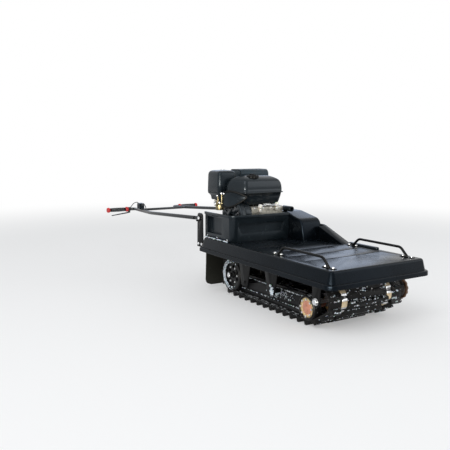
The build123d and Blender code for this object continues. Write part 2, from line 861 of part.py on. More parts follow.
# Hood tray: a vacuum formed shell, open below and at the engine well
hood_rear = back(hood_length)
hood_mid = (nose_x + hood_rear) / 2
band_height = deck_z - lip_z
hood_taper = atan2(hood_inset - lip_reach, band_height) * 180 / pi
well_right_y = box_right_y + box_wall + well_margin / 2
wall_length, wall_width = hood_length - 2 * lip_reach, hood_width - 2 * lip_reach
with BuildPart() as hood_tray:
    with BuildSketch(Plane.XY.offset(lip_z)):
        with Locations((hood_mid, 0)):
            RectangleRounded(wall_length, wall_width, hood_corner_radius - lip_reach)
    extrude(amount=band_height, taper=hood_taper)
    fillet(faces().sort_by(Axis.Z)[-1].edges(), radius=deck_edge_radius)
    with BuildSketch(Plane.XY.offset(lip_z)):
        with Locations((hood_mid, 0)):
            RectangleRounded(hood_length, hood_width, hood_corner_radius)
    extrude(amount=lip_height)
    lip_edges = edges().filter_by(Plane.XY).group_by(Axis.Z)
    upper_lip_edges = lip_edges[1].filter_by(lambda e: e.length > hood_corner_radius)
    fillet(lip_edges[0] + upper_lip_edges, radius=lip_height / 3)
    with BuildSketch(Plane.XY.offset(lip_z)):
        with Locations((hood_mid, 0)):
            RectangleRounded(wall_length - 2 * hood_wall, wall_width - 2 * hood_wall,
                             hood_corner_radius - lip_reach - hood_wall)
    extrude(amount=band_height - hood_wall, taper=hood_taper, mode=Mode.SUBTRACT)
    block(bay(well_rear_in), bay(well_margin), well_right_y, cover_left_y - well_margin,
          deck_z - hood_wall - overrun, deck_z + overrun, mode=Mode.SUBTRACT)
    opening_half = rail_outer_y + rear_gap
    block(hood_rear - overrun, hood_rear + hood_inset + overrun, -opening_half, opening_half,
          lip_z - overrun, rail_bottom_z + rail_height + rear_gap, mode=Mode.SUBTRACT)
    with BuildSketch(Plane.XY.offset(deck_z - groove_depth)):
        for share in groove_place_shares:
            x = back(hood_length * share)
            half = hood_width / 2 - hood_inset - groove_margin
            with BuildLine(mode=Mode.PRIVATE) as bow:
                ThreePointArc((x, -half), (x + groove_bow, 0), (x, half))
            SlotArc(bow.line.edges()[0], groove_width)
    extrude(amount=groove_depth + overrun, mode=Mode.SUBTRACT)
hood_tray.part.label = "hood_tray"
export_step(hood_tray.part, "parts/hood_tray.step")

# Engine box: a front panel that turns the right corner into a low side wall
box_front = bay(0)
with BuildPart() as engine_box:
    outer = ((hood_rear, box_right_y), (box_front, box_right_y), (box_front, box_left_y))
    with BuildSketch(Plane.XY.offset(deck_z)):
        with BuildLine():
            FilletPolyline(*outer, radius=box_corner_radius)
            Line((box_front, box_left_y), (box_front - box_panel, box_left_y))
            inner = ((box_front - box_panel, box_left_y), (box_front - box_panel, box_right_y + box_wall),
                     (hood_rear, box_right_y + box_wall))
            FilletPolyline(*inner, radius=box_corner_radius - box_panel)
            Line((hood_rear, box_right_y + box_wall), (hood_rear, box_right_y))
        make_face()
    extrude(amount=box_top_z - deck_z)
    with BuildSketch(Plane.XY.offset(box_top_z - box_rim_height)):
        with BuildLine():
            rim_y, rim_x = box_right_y - box_rim_reach, box_front + box_rim_reach
            rim = ((hood_rear, rim_y), (rim_x, rim_y), (rim_x, box_left_y))
            FilletPolyline(*rim, radius=box_corner_radius + box_rim_reach)
            Line((box_front + box_rim_reach, box_left_y), (box_front - box_panel, box_left_y))
            FilletPolyline(*inner, radius=box_corner_radius - box_panel)
            Line((hood_rear, box_right_y + box_wall), (hood_rear, box_right_y - box_rim_reach))
        make_face()
    extrude(amount=box_rim_height)
    fillet(edges().group_by(Axis.Z)[-1], radius=box_rim_radius / 2)
    with BuildSketch(Plane.YZ.offset(box_front - recess_depth)):
        low_y, high_y = box_right_y + recess_margin, box_left_y - recess_margin
        Polygon((low_y + recess_taper, recess_bottom_z), (high_y - recess_taper / 3, recess_bottom_z),
                (high_y, recess_top_z), (low_y, recess_top_z), align=None)
        fillet(vertices(), radius=recess_depth)
    extrude(amount=recess_depth + overrun, mode=Mode.SUBTRACT)
    pocket_back_y = box_right_y + pocket_depth
    block(bay(pocket_rear_in) - box_wall, bay(pocket_front_in) + box_wall, box_right_y + box_wall,
          pocket_back_y + box_wall, pocket_low_z - box_wall, pocket_high_z + box_wall)
    block(bay(pocket_rear_in), bay(pocket_front_in), box_right_y - overrun, pocket_back_y,
          pocket_low_z, pocket_high_z, mode=Mode.SUBTRACT)
engine_box.part.label = "engine_box"
export_step(engine_box.part, "parts/engine_box.step")


def cover_outline(inset):
    """Side outline of the drive cover: flat top, falling shoulder, round brow, steep front."""
    rear = hood_rear - (overrun if inset else 0)
    base = deck_z - (overrun if inset else 0)
    front_foot = (bay(-cover_front_ahead) - inset, base)
    FilletPolyline(front_foot, (bay(-cover_brow_ahead) - inset, cover_brow_z - inset),
                   (bay(cover_crown_in), box_top_z - inset), (rear, box_top_z - inset),
                   radius=[cover_brow_radius, cover_crown_radius])
    Polyline((rear, box_top_z - inset), (rear, base), front_foot)


with BuildPart() as drive_cover:
    with BuildSketch(side_plane(box_left_y + cover_gap)):
        with BuildLine():
            cover_outline(0)
        make_face()
    extrude(amount=-(cover_left_y - box_left_y - cover_gap))
    for row in (0, -1):
        crest = edges().group_by(Axis.Y)[row].filter_by(lambda e: e.center().Z > deck_z + overrun)
        fillet(crest.filter_by(lambda e: e.center().X > hood_rear + overrun), radius=cover_corner_radius)
    with BuildSketch(side_plane(box_left_y + cover_gap + box_wall)):
        with BuildLine():
            cover_outline(box_wall)
        make_face()
    extrude(amount=-(cover_left_y - box_left_y - cover_gap - 2 * box_wall), mode=Mode.SUBTRACT)
drive_cover.part.label = "drive_cover"
export_step(drive_cover.part, "parts/drive_cover.step")

# Ramp on the left that climbs beside the drive cover and runs level to the rear
with BuildPart() as side_ramp:
    with BuildSketch(side_plane(ramp_inner_y)):
        Polygon((bay(-ramp_start_ahead), deck_z), (bay(-ramp_end_ahead), ramp_top_z), (hood_rear, ramp_top_z),
                (hood_rear, deck_z), align=None)
    extrude(amount=-(ramp_outer_y - ramp_inner_y))
    fillet(edges().group_by(Axis.Z)[-1].filter_by(Axis.X).sort_by(Axis.Y)[-1], radius=ramp_edge_radius)
    block(hood_rear - overrun, bay(-cover_front_ahead) + cover_gap, ramp_inner_y - overrun,
          cover_left_y + cover_gap, deck_z - overrun, ramp_top_z + overrun, mode=Mode.SUBTRACT)
side_ramp.part.label = "side_ramp"
export_step(side_ramp.part, "parts/side_ramp.step")

# Pad on the deck edge and a short duct on the cover
with BuildPart() as deck_pad:
    with BuildSketch(Plane.XY.offset(deck_z)):
        with Locations(((back(pad_front_back) + back(pad_rear_back)) / 2, pad_y)):
            SlotOverall(pad_rear_back - pad_front_back, pad_width)
    extrude(amount=pad_height)
    fillet(edges().group_by(Axis.Z)[-1], radius=pad_height / 2)
deck_pad.part.label = "deck_pad"
export_step(deck_pad.part, "parts/deck_pad.step")

with BuildPart() as duct_tube:
    with BuildSketch(Plane.YZ.offset(bay(duct_in) - duct_length)):
        with Locations((duct_y, box_top_z + duct_diameter / 2)):
            Circle(duct_diameter / 2)
            Circle(duct_diameter / 2 - duct_wall, mode=Mode.SUBTRACT)
    extrude(amount=duct_length)
duct_tube.part.label = "duct_tube"
export_step(duct_tube.part, "parts/duct_tube.step")

# Two bent tube rails on the deck, welded to foot plates with dome nuts
rail_floor_z = deck_z + foot_plate_thickness
rail_axis_z = deck_z + deck_rail_height - deck_rail_diameter / 2
foot_xs = (back(deck_rail_front_back), back(deck_rail_rear_back))
for name, side in (("left", 1), ("right", -1)):
    y = side * deck_rail_y
    foot_z = rail_floor_z - foot_plate_thickness / 2
    with BuildPart() as deck_rail:
        with BuildLine():
            FilletPolyline(
                (foot_xs[0], y, foot_z), (foot_xs[0] - deck_rail_slope, y, rail_axis_z),
                (foot_xs[1] + deck_rail_slope, y, rail_axis_z), (foot_xs[1], y, foot_z),
                radius=deck_rail_bend,
            )
        with BuildSketch(Plane((foot_xs[0], y, foot_z), z_dir=(-deck_rail_slope, 0, rail_axis_z - foot_z))):
            Circle(deck_rail_diameter / 2)
        sweep()
        for x in foot_xs:
            block(x - foot_plate_length / 2, x + foot_plate_length / 2, y - foot_plate_width / 2,
                  y + foot_plate_width / 2, deck_z, rail_floor_z)
        block(foot_xs[1] - foot_plate_length, foot_xs[0] + foot_plate_length, y - foot_plate_width,
              y + foot_plate_width, deck_z - overrun, deck_z, mode=Mode.SUBTRACT)
    deck_rail.part.label = f"deck_rail_{name}"
    export_step(deck_rail.part, f"parts/deck_rail_{name}.step")

with BuildPart() as rail_nuts:
    for side in (-1, 1):
        for x in foot_xs:
            for step in (-dome_nut_spacing / 2, dome_nut_spacing / 2):
                with Locations((x + step, side * deck_rail_y, rail_floor_z + dome_nut_height / 4)):
                    Cylinder(dome_nut_radius, dome_nut_height / 2)
                with Locations((x + step, side * deck_rail_y, rail_floor_z + dome_nut_height / 2)):
                    Sphere(dome_nut_radius * 3 / 4, arc_size1=0)
rail_nuts.part.label = "rail_nuts"
export_step(rail_nuts.part, "parts/rail_nuts.step")

# Engine: crankcase and the finned cylinder that leans to the rear
crank_x = bay(crank_in)
lean = radians(cylinder_lean)
cylinder_plane = Plane((crank_x, 0, crank_z), x_dir=(0, 1, 0), z_dir=(-cos(lean), 0, sin(lean)))
with BuildPart() as engine_block:
    block(bay(crankcase_rear_in), bay(crankcase_front_in), -crankcase_half_width, crankcase_half_width,
          engine_base_z, crankcase_top_z)
    fillet(edges().filter_by(Axis.Y), radius=crankcase_edge_radius)
    with BuildSketch(cylinder_plane):
        Rectangle(2 * cylinder_half_width, 2 * cylinder_half_height)
    extrude(amount=cylinder_length)
    for k in range(fin_count):
        with BuildSketch(cylinder_plane.offset(fin_start + k * fin_pitch)):
            RectangleRounded(2 * (cylinder_half_width + fin_reach), 2 * (cylinder_half_height + fin_reach),
                             fin_reach)
        extrude(amount=fin_thickness)
    with BuildSketch(cylinder_plane.offset(cylinder_length)):
        RectangleRounded(2 * head_cover_half_width, 2 * head_cover_half_height, fin_reach)
    extrude(amount=head_cover_length)
    fillet(faces().sort_by(Axis.X)[0].edges(), radius=fin_reach / 2)
    with BuildSketch(Plane.XY.offset(crankcase_top_z - crankcase_edge_radius)):
        with Locations((bay((cowl_front_in + cowl_rear_in) / 2), 0)):
            RectangleRounded(cowl_rear_in - cowl_front_in, 2 * cowl_half_width, cowl_edge_radius)
    extrude(amount=cowl_top_z - crankcase_top_z + crankcase_edge_radius)
    port_x = bay((muffler_front_in + muffler_rear_in) / 2)
    with Locations((port_x, 0, (crank_z + exhaust_port_z) / 2)):
        Cylinder(port_boss_radius, exhaust_port_z - crank_z)
    rod(bay(carburettor_in), carburettor_z, port_boss_radius, carburettor_left_y + running_gap, 0)
engine_block.part.label = "engine_block"
export_step(engine_block.part, "parts/engine_block.step")

# Fan shroud on the right: a round body drawn out over the cylinder
shroud_y = -crankcase_half_width - running_gap
tip_lean = radians(shroud_tip_lean)
tip_x = crank_x - shroud_tip_distance * cos(tip_lean)
tip_z = crank_z + shroud_tip_distance * sin(tip_lean)
with BuildPart() as fan_shroud:
    with BuildSketch(side_plane(shroud_y)):
        shroud_circles = ((tip_x, tip_z, shroud_tip_radius), (crank_x, crank_z, shroud_radius))
        with BuildLine():
            loop_outline(shroud_circles, 0)
        make_face()
        shroud_length, shroud_height = shroud_rear_in - shroud_front_in, shroud_top_z - engine_base_z
        with Locations((bay(shroud_front_in + shroud_length / 2), engine_base_z + shroud_height / 2)):
            RectangleRounded(shroud_length, shroud_height, shroud_corner_radius)
        with Locations((crank_x, engine_base_z - shroud_radius)):
            Rectangle(4 * shroud_radius, 2 * shroud_radius, mode=Mode.SUBTRACT)
    extrude(amount=shroud_thickness)
    fillet(edges().group_by(Axis.Y)[0], radius=shroud_edge_radius)
fan_shroud.part.label = "fan_shroud"
export_step(fan_shroud.part, "parts/fan_shroud.step")

# Recoil starter: a shallow round cover with slots, a cup and its pull handle
recoil_y = shroud_y - shroud_thickness - running_gap
recoil_z = crank_z + recoil_rise
with BuildPart() as recoil_starter:
    with BuildSketch(side_plane(recoil_y)):
        with Locations((crank_x, recoil_z)):
            Circle(recoil_radius)
    extrude(amount=recoil_thickness)
    fillet(edges().group_by(Axis.Y)[0], radius=shroud_edge_radius)
    with BuildSketch(side_plane(recoil_y - recoil_thickness + recoil_cup_depth)):
        with Locations((crank_x, recoil_z)):
            Circle(recoil_cup_radius)
            with PolarLocations(recoil_slot_radius, recoil_slot_count):
                SlotOverall(recoil_slot_length, recoil_slot_width)
    extrude(amount=recoil_cup_depth + overrun, mode=Mode.SUBTRACT)
    handle = radians(recoil_handle_angle)
    reach = recoil_radius + recoil_handle_radius / 2
    handle_x, handle_z = crank_x + reach * cos(handle), recoil_z + reach * sin(handle)
    with Locations((handle_x, recoil_y - recoil_thickness / 2, handle_z)):
        Cylinder(recoil_handle_radius, recoil_handle_length / 2, rotation=(0, 90 - recoil_handle_angle, 0))
recoil_starter.part.label = "recoil_starter"
export_step(recoil_starter.part, "parts/recoil_starter.step")

# Fuel tank: two pressed halves with a seam flange, on four posts
tank_x = (bay(tank_front_in) + bay(tank_rear_in)) / 2
tank_y = (tank_right_y + tank_left_y) / 2
tank_depth = tank_rear_in - tank_front_in
tank_width = tank_left_y - tank_right_y
with BuildPart() as fuel_tank:
    with BuildSketch(Plane.XY.offset(tank_bottom_z)):
        with Locations((tank_x, tank_y)):
            RectangleRounded(tank_depth, tank_width, tank_edge_radius)
    extrude(amount=tank_top_z - tank_bottom_z)
    fillet(edges().group_by(Axis.Z)[-1], radius=tank_crown_radius)
    fillet(edges().group_by(Axis.Z)[0], radius=tank_belly_radius)
    with BuildSketch(Plane.XY.offset(tank_seam_z)):
        with Locations((tank_x, tank_y)):
            RectangleRounded(tank_depth + 2 * tank_seam_reach, tank_width + 2 * tank_seam_reach,
                             tank_edge_radius + tank_seam_reach)
    extrude(amount=tank_seam_height)
    for x in (tank_x - tank_depth / 4, tank_x + tank_depth / 4):
        for y in (-crankcase_half_width + tank_post_width, crankcase_half_width - tank_post_width):
            block(x - tank_post_width / 2, x + tank_post_width / 2, y - tank_post_width / 2,
                  y + tank_post_width / 2, crankcase_top_z, tank_bottom_z + tank_belly_radius)
fuel_tank.part.label = "fuel_tank"
export_step(fuel_tank.part, "parts/fuel_tank.step")

with BuildPart() as fuel_cap:
    with BuildSketch(Plane.XY.offset(tank_top_z)):
        with Locations((bay(fuel_cap_in), fuel_cap_y)):
            RegularPolygon(fuel_cap_radius, fuel_cap_flats)
    extrude(amount=fuel_cap_height)
    fillet(edges().group_by(Axis.Z)[-1], radius=fuel_cap_height / 4)
fuel_cap.part.label = "fuel_cap"
export_step(fuel_cap.part, "parts/fuel_cap.step")

# Air filter with its seam, neck and wing knob
filter_x = (bay(filter_front_in) + bay(filter_rear_in)) / 2
filter_y = (filter_right_y + filter_left_y) / 2
filter_depth = filter_rear_in - filter_front_in
filter_width = filter_left_y - filter_right_y
with BuildPart() as air_filter:
    with BuildSketch(Plane.XY.offset(filter_bowl_z)):
        with Locations((filter_x, filter_y)):
            RectangleRounded(filter_depth - 2 * filter_seam_reach, filter_width - 2 * filter_seam_reach,
                             filter_edge_radius)
    extrude(amount=filter_top_z - filter_bowl_z)
    fillet(edges().group_by(Axis.Z)[-1], radius=filter_crown_radius)
    with BuildSketch(Plane.XY.offset(filter_bottom_z)):
        with Locations((filter_x, filter_y)):
            RectangleRounded(filter_depth - 2 * filter_bowl_inset, filter_width - 2 * filter_bowl_inset,
                             filter_edge_radius - filter_bowl_inset)
    extrude(amount=filter_bowl_z - filter_bottom_z)
    with BuildSketch(Plane.XY.offset(filter_seam_z)):
        with Locations((filter_x, filter_y)):
            RectangleRounded(filter_depth, filter_width, filter_edge_radius + filter_seam_reach)
    extrude(amount=filter_seam_reach)
    with Locations((bay(carburettor_in), carburettor_bowl_y,
                    (carburettor_z + carburettor_radius + running_gap + filter_bottom_z) / 2)):
        Cylinder(intake_radius, filter_bottom_z - carburettor_z - carburettor_radius - running_gap)
    with Locations((filter_x, filter_y, filter_top_z + filter_knob_height / 2)):
        Cylinder(filter_knob_radius, filter_knob_height)
air_filter.part.label = "air_filter"
export_step(air_filter.part, "parts/air_filter.step")

# Carburettor: a barrel along Y with its bowl below
with BuildPart() as carburettor:
    x = bay(carburettor_in)
    rod(x, carburettor_z, carburettor_radius, carburettor_right_y, carburettor_left_y)
    with Locations((x, carburettor_bowl_y,
                    carburettor_z - carburettor_bowl_height / 2 - carburettor_radius / 2)):
        Cylinder(carburettor_bowl_radius, carburettor_bowl_height)
carburettor.part.label = "carburettor"
export_step(carburettor.part, "parts/carburettor.step")

# Muffler with its pipe to the head, and the slotted guard round it
muffler_x = (bay(muffler_front_in) + bay(muffler_rear_in)) / 2
muffler_y = (muffler_right_y + muffler_left_y) / 2
muffler_depth = muffler_rear_in - muffler_front_in
muffler_width = muffler_left_y - muffler_right_y
pipe_foot_z = exhaust_port_z + running_gap
with BuildPart() as muffler:
    with BuildSketch(side_plane(muffler_right_y)):
        with Locations((muffler_x, (muffler_bottom_z + muffler_top_z) / 2)):
            RectangleRounded(muffler_depth, muffler_top_z - muffler_bottom_z, muffler_edge_radius)
    extrude(amount=-muffler_width)
    with Locations((muffler_x, 0, (pipe_foot_z + muffler_bottom_z + muffler_edge_radius) / 2)):
        Cylinder(exhaust_diameter / 2, muffler_bottom_z + muffler_edge_radius - pipe_foot_z)
muffler.part.label = "muffler"
export_step(muffler.part, "parts/muffler.step")

with BuildPart() as muffler_guard:
    with BuildSketch(side_plane(muffler_right_y)):
        with Locations((muffler_x, (muffler_bottom_z + muffler_top_z) / 2)):
            height = muffler_top_z - muffler_bottom_z
            outer_reach, inner_reach = 2 * (guard_gap + guard_plate), 2 * guard_gap
            RectangleRounded(muffler_depth + outer_reach, height + outer_reach,
                             muffler_edge_radius + guard_gap)
            RectangleRounded(muffler_depth + inner_reach, height + inner_reach, muffler_edge_radius,
                             mode=Mode.SUBTRACT)
        with Locations((muffler_x, muffler_bottom_z - guard_gap)):
            Rectangle(muffler_depth - 2 * muffler_edge_radius, 4 * guard_gap, mode=Mode.SUBTRACT)
    extrude(amount=-muffler_width)
    with BuildSketch(Plane.XY.offset(muffler_top_z)):
        slot_step = muffler_width / guard_slot_count
        with Locations((muffler_x, muffler_y)):
            with GridLocations(0, slot_step, 1, guard_slot_count):
                SlotOverall(guard_slot_length, guard_slot_width)
    extrude(amount=guard_gap + guard_plate + overrun, mode=Mode.SUBTRACT)
    for y in (muffler_y - muffler_width / 3, muffler_y + muffler_width / 3):
        for x_low in (bay(muffler_rear_in) - guard_gap, bay(muffler_front_in) + running_gap):
            mid_z = muffler_bottom_z + height / 2
            block(x_low, x_low + guard_gap - running_gap, y - guard_slot_width, y + guard_slot_width,
                  mid_z - guard_slot_width, mid_z + guard_slot_width)
muffler_guard.part.label = "muffler_guard"
export_step(muffler_guard.part, "parts/muffler_guard.step")

# Two oil filler caps that lean forward out of the crankcase
with BuildPart() as oil_caps:
    for y in oil_cap_ys:
        neck = (sin(radians(oil_neck_lean)), 0, cos(radians(oil_neck_lean)))
        cap_plane = Plane((bay(crankcase_front_in) - oil_cap_radius, y, oil_cap_z), z_dir=neck)
        with BuildSketch(cap_plane):
            RegularPolygon(oil_cap_radius, oil_cap_flats)
        extrude(amount=oil_cap_height + oil_cap_radius)
    block(bay(crankcase_rear_in), bay(crankcase_front_in), -crankcase_half_width, crankcase_half_width,
          engine_base_z, crankcase_top_z, mode=Mode.SUBTRACT)
oil_caps.part.label = "oil_caps"
export_step(oil_caps.part, "parts/oil_caps.step")


# Handlebar side tubes. Stations of the tube: distance from the pivot along
# the bar, and distance from the middle of the vehicle
droop = radians(bar_droop)
bar_end = pivot_x + nose_x - grip_collar_diameter / 2
bar_length = bar_end / cos(droop)
bar_taper_start = bar_length - bar_taper_length
bar_rear_y = handlebar_width / 2 - 2 * grip_collar_length - grip_length - bar_bend_reach
bar_slope = (bar_y - bar_rear_y) / bar_taper_length


def bar_point(distance, y):
    """A point of the handlebar at this distance from the pivot."""
    return (pivot_x - distance * cos(droop), y, pivot_z - distance * sin(droop))


for name, side in (("left", 1), ("right", -1)):
    with BuildPart() as bar_tube:
        with BuildLine() as bar_path:
            FilletPolyline(
                bar_point(bar_start, side * bar_y), bar_point(bar_taper_start, side * bar_y),
                bar_point(bar_length, side * bar_rear_y),
                bar_point(bar_length, side * (handlebar_width / 2 - grip_fit)),
                radius=[bar_side_bend, bar_end_bend],
            )
        with BuildSketch(Plane(bar_point(bar_start, side * bar_y), z_dir=(-cos(droop), 0, -sin(droop)))):
            Circle(bar_diameter / 2)
        sweep()
        eye_low, eye_high = upright_outer_y + eye_gap, upright_outer_y + eye_gap + plate_thickness
        with BuildSketch(side_plane(min(side * eye_low, side * eye_high))):
            tail = bar_point(bar_start + bar_diameter, 0)
            with BuildLine():
                up = (sin(droop) * eye_plate_half_height, cos(droop) * eye_plate_half_height)
                Polyline((pivot_x + up[0] * -1, pivot_z + up[1]), (tail[0] - up[0], tail[2] + up[1]),
                         (tail[0] + up[0], tail[2] - up[1]), (pivot_x + up[0], pivot_z - up[1]))
                nose = (pivot_x + up[1], pivot_z + up[0])
                ThreePointArc((pivot_x + up[0], pivot_z - up[1]), nose, (pivot_x - up[0], pivot_z + up[1]))
            make_face()
            with Locations((pivot_x, pivot_z)):
                Circle(pivot_diameter / 2 + pivot_clearance, mode=Mode.SUBTRACT)
        extrude(amount=-plate_thickness)
    bar_tube.part.label = f"handlebar_tube_{name}"
    export_step(bar_tube.part, f"parts/handlebar_tube_{name}.step")

cross_y = bar_rear_y + cross_bar_setback * bar_slope
with BuildPart() as cross_bar:
    spot = bar_point(bar_length - cross_bar_setback, 0)
    reach = cross_y - bar_diameter / 2 - cross_bar_diameter / 2 * bar_slope - grip_fit
    rod(spot[0], spot[2], cross_bar_diameter / 2, -reach, reach)
cross_bar.part.label = "handlebar_cross_bar"
export_step(cross_bar.part, "parts/handlebar_cross_bar.step")

# Grips: a black sleeve between two red collars at each end of the bar
grip_x, grip_z = bar_point(bar_length, 0)[0], bar_point(bar_length, 0)[2]
grip_end_y = handlebar_width / 2
sleeve_end_y = grip_end_y - grip_collar_length
sleeve_start_y = sleeve_end_y - grip_length
# Columns: kind of piece, low side, high side
grip_stations = (
    ("end", sleeve_end_y, grip_end_y),
    ("sleeve", sleeve_start_y, sleeve_end_y),
    ("inner", sleeve_start_y - grip_collar_length, sleeve_start_y),
)
with BuildPart() as grips:
    for side in (-1, 1):
        name, low, high = grip_stations[1]
        ends = sorted((side * low, side * high))
        rod(grip_x, grip_z, grip_diameter / 2, *ends)
        rod(grip_x, grip_z, bar_diameter / 2 + grip_fit, ends[0] - overrun, ends[1] + overrun,
            mode=Mode.SUBTRACT)
grips.part.label = "grips"
export_step(grips.part, "parts/grips.step")

with BuildPart() as grip_collars:
    for side in (-1, 1):
        for name, low, high in (grip_stations[0], grip_stations[2]):
            ends = sorted((side * low, side * high))
            rod(grip_x, grip_z, grip_collar_diameter / 2, *ends)
            bore_end = high - grip_fit if name == "end" else high + overrun
            rod(grip_x, grip_z, bar_diameter / 2 + grip_fit,
                *sorted((side * (low - overrun), side * bore_end)), mode=Mode.SUBTRACT)
grip_collars.part.label = "grip_collars"
export_step(grip_collars.part, "parts/grip_collars.step")

# Brake lever under the right grip, with its clamp on the bar
lever_clamp_y = grip_stations[2][1] - lever_clamp_width
with BuildPart() as brake_lever:
    ends = (-lever_clamp_y - lever_clamp_width, -lever_clamp_y)
    rod(grip_x, grip_z, bar_diameter / 2 + lever_clamp_wall, *ends)
    with BuildSketch(Plane.YZ.offset(grip_x - lever_thickness)):
        root_y, tip_y = -lever_clamp_y, -lever_clamp_y - lever_length
        ring_z, knee_z = grip_z - bar_diameter / 2, grip_z - grip_collar_diameter / 2 - lever_clamp_wall
        Polygon((root_y - lever_clamp_width + grip_fit, ring_z), (root_y, ring_z),
                (root_y, knee_z - lever_thickness),
                (root_y - 2 * lever_clamp_width, knee_z - 2 * lever_thickness),
                (tip_y, grip_z - lever_drop - lever_thickness), (tip_y, grip_z - lever_drop),
                (root_y - lever_clamp_width, knee_z), align=None)
    extrude(amount=2 * lever_thickness)
    rod(grip_x, grip_z, bar_diameter / 2 + grip_fit, ends[0] - overrun, ends[1] + overrun, mode=Mode.SUBTRACT)
brake_lever.part.label = "brake_lever"
export_step(brake_lever.part, "parts/brake_lever.step")

# Control box clamped on the right side tube
box_y = -(bar_rear_y + switch_box_setback * bar_slope)
with BuildPart() as control_box:
    spot = bar_point(bar_length - switch_box_setback, box_y)
    box_low = spot[2] + bar_diameter / 2 + running_gap + switch_box_size / 2 * sin(droop)
    block(spot[0] - switch_box_size / 2, spot[0] + switch_box_size / 2, spot[1] - switch_box_width / 2,
          spot[1] + switch_box_width / 2, box_low, box_low + switch_box_height)
    fillet(edges().group_by(Axis.Z)[-1], radius=lever_thickness)
control_box.part.label = "control_box"
export_step(control_box.part, "parts/control_box.step")

# Control cables along the right side tube: each leaves its lever or box, rises
# in a loose arc and enters the tube through a hole in its top
cable_tables = (("brake_cable", brake_cable_route), ("throttle_cable", throttle_cable_route))
for name, route in cable_tables:
    points = []
    for setback, shift, height in route:
        axis_y = bar_rear_y + setback * bar_slope
        base = bar_point(bar_length - setback, -(axis_y + shift))
        points.append(Vector(base[0], base[1], base[2] + height))
    runs = [(b - a) for a, b in zip(points, points[1:])]
    radii = []
    for before, after in zip(runs, runs[1:]):
        turn = radians(before.get_angle(after))
        radii.append(0.45 * min(before.length, after.length) / tan(turn / 2))
    print(name, "radii", [round(radius, 1) for radius in radii])
    with BuildPart() as cable:
        with BuildLine():
            FilletPolyline(*points, radius=radii)
        with BuildSketch(Plane(points[0], z_dir=runs[0])):
            Circle(cable_diameter / 2)
        sweep()
    cable.part.label = name
    export_step(cable.part, f"parts/{name}.step")
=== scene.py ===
import json
from math import cos, pi, radians

import bmesh
import bpy
import numpy as np
from bpy.props import FloatProperty, PointerProperty, StringProperty
from bpy.types import Operator, Panel, PropertyGroup
from mathutils import Matrix, Vector


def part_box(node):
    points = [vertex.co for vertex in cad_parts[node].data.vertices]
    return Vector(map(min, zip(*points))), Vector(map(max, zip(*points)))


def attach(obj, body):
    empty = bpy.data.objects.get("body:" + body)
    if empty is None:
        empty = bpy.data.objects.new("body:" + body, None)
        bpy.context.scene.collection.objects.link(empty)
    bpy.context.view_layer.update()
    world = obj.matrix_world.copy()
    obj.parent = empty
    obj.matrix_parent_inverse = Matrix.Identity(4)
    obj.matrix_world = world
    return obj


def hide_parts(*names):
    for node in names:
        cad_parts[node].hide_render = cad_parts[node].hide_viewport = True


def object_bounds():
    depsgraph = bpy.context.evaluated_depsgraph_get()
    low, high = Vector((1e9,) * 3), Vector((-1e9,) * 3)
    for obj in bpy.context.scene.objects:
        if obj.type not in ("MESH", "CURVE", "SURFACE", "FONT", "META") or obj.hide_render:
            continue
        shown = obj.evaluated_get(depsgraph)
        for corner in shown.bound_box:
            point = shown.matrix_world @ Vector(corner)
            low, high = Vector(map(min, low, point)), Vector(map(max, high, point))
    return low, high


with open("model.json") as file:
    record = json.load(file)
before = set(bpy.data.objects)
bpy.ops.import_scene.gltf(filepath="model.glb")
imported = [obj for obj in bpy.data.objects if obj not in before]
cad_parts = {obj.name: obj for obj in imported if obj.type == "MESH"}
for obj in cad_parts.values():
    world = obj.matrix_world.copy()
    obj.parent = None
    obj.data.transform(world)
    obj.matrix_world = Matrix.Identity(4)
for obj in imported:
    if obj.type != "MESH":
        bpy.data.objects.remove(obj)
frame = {"nodes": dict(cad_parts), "record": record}

bl_info = {
    "name": "Tracked snow tug",
    "version": (1, 0, 0),
    "blender": (4, 5, 0),
    "location": "View3D > Sidebar > Snow Tug",
    "description": "Dresses the packed snow tug with its finishes and fine pieces",
    "category": "Object",
}

MM = 0.001
CAD_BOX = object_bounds()
SLOT_OF = {part["node"]: part["material_slot"] for part in frame["record"]["subparts"]}
BODY_OF = {node: body for body, nodes in frame["record"]["behaviour"]["bodies"].items() for node in nodes}


# Colours and nodes

def linear(hex_colour):
    """One sRGB hex value turned to linear red, green, blue and alpha."""
    out = []
    for i in (1, 3, 5):
        c = int(hex_colour[i:i + 2], 16) / 255
        out.append(c / 12.92 if c <= 0.04045 else ((c + 0.055) / 1.055) ** 2.4)
    return (*out, 1.0)


def feed(tree, node, values):
    """Gives a node its values. A socket is linked, a hex value becomes a colour, and stops fill a ramp."""
    for key, value in values.items():
        if key == "stops":
            for point, (place, grey) in zip(node.color_ramp.elements, value):
                point.position, point.color = place, (grey, grey, grey, 1)
        elif isinstance(key, str) and hasattr(node, key):
            setattr(node, key, value)
        elif isinstance(value, bpy.types.NodeSocket):
            tree.links.new(value, node.inputs[key])
        else:
            node.inputs[key].default_value = linear(value) if isinstance(value, str) else value


def add(tree, kind, values=None, out=0):
    """Adds one shader node with its values and links, and returns the output that is asked for."""
    node = tree.nodes.new("ShaderNode" + kind)
    feed(tree, node, values or {})
    return node.outputs[out] if node.outputs else node


def blobs(place, size_mm, detail=4.0, roughness=0.55):
    """Values of a noise whose blobs measure about size_mm on the object."""
    return {"Vector": place, "Scale": 1 / (size_mm * MM), "Detail": detail, "Roughness": roughness}


# The output of a Mix node that holds its mixed colour
MIXED = 2


def tones(factor, low, high):
    """Values of a mix of two colours. Its colour is the MIXED output."""
    return {"data_type": "RGBA", 0: factor, 6: low, 7: high}


def scaled(pattern, gain, start):
    """Values of a sum: the pattern times its gain, added to a start."""
    return {"operation": "MULTIPLY_ADD", 0: pattern, 1: gain, 2: start}


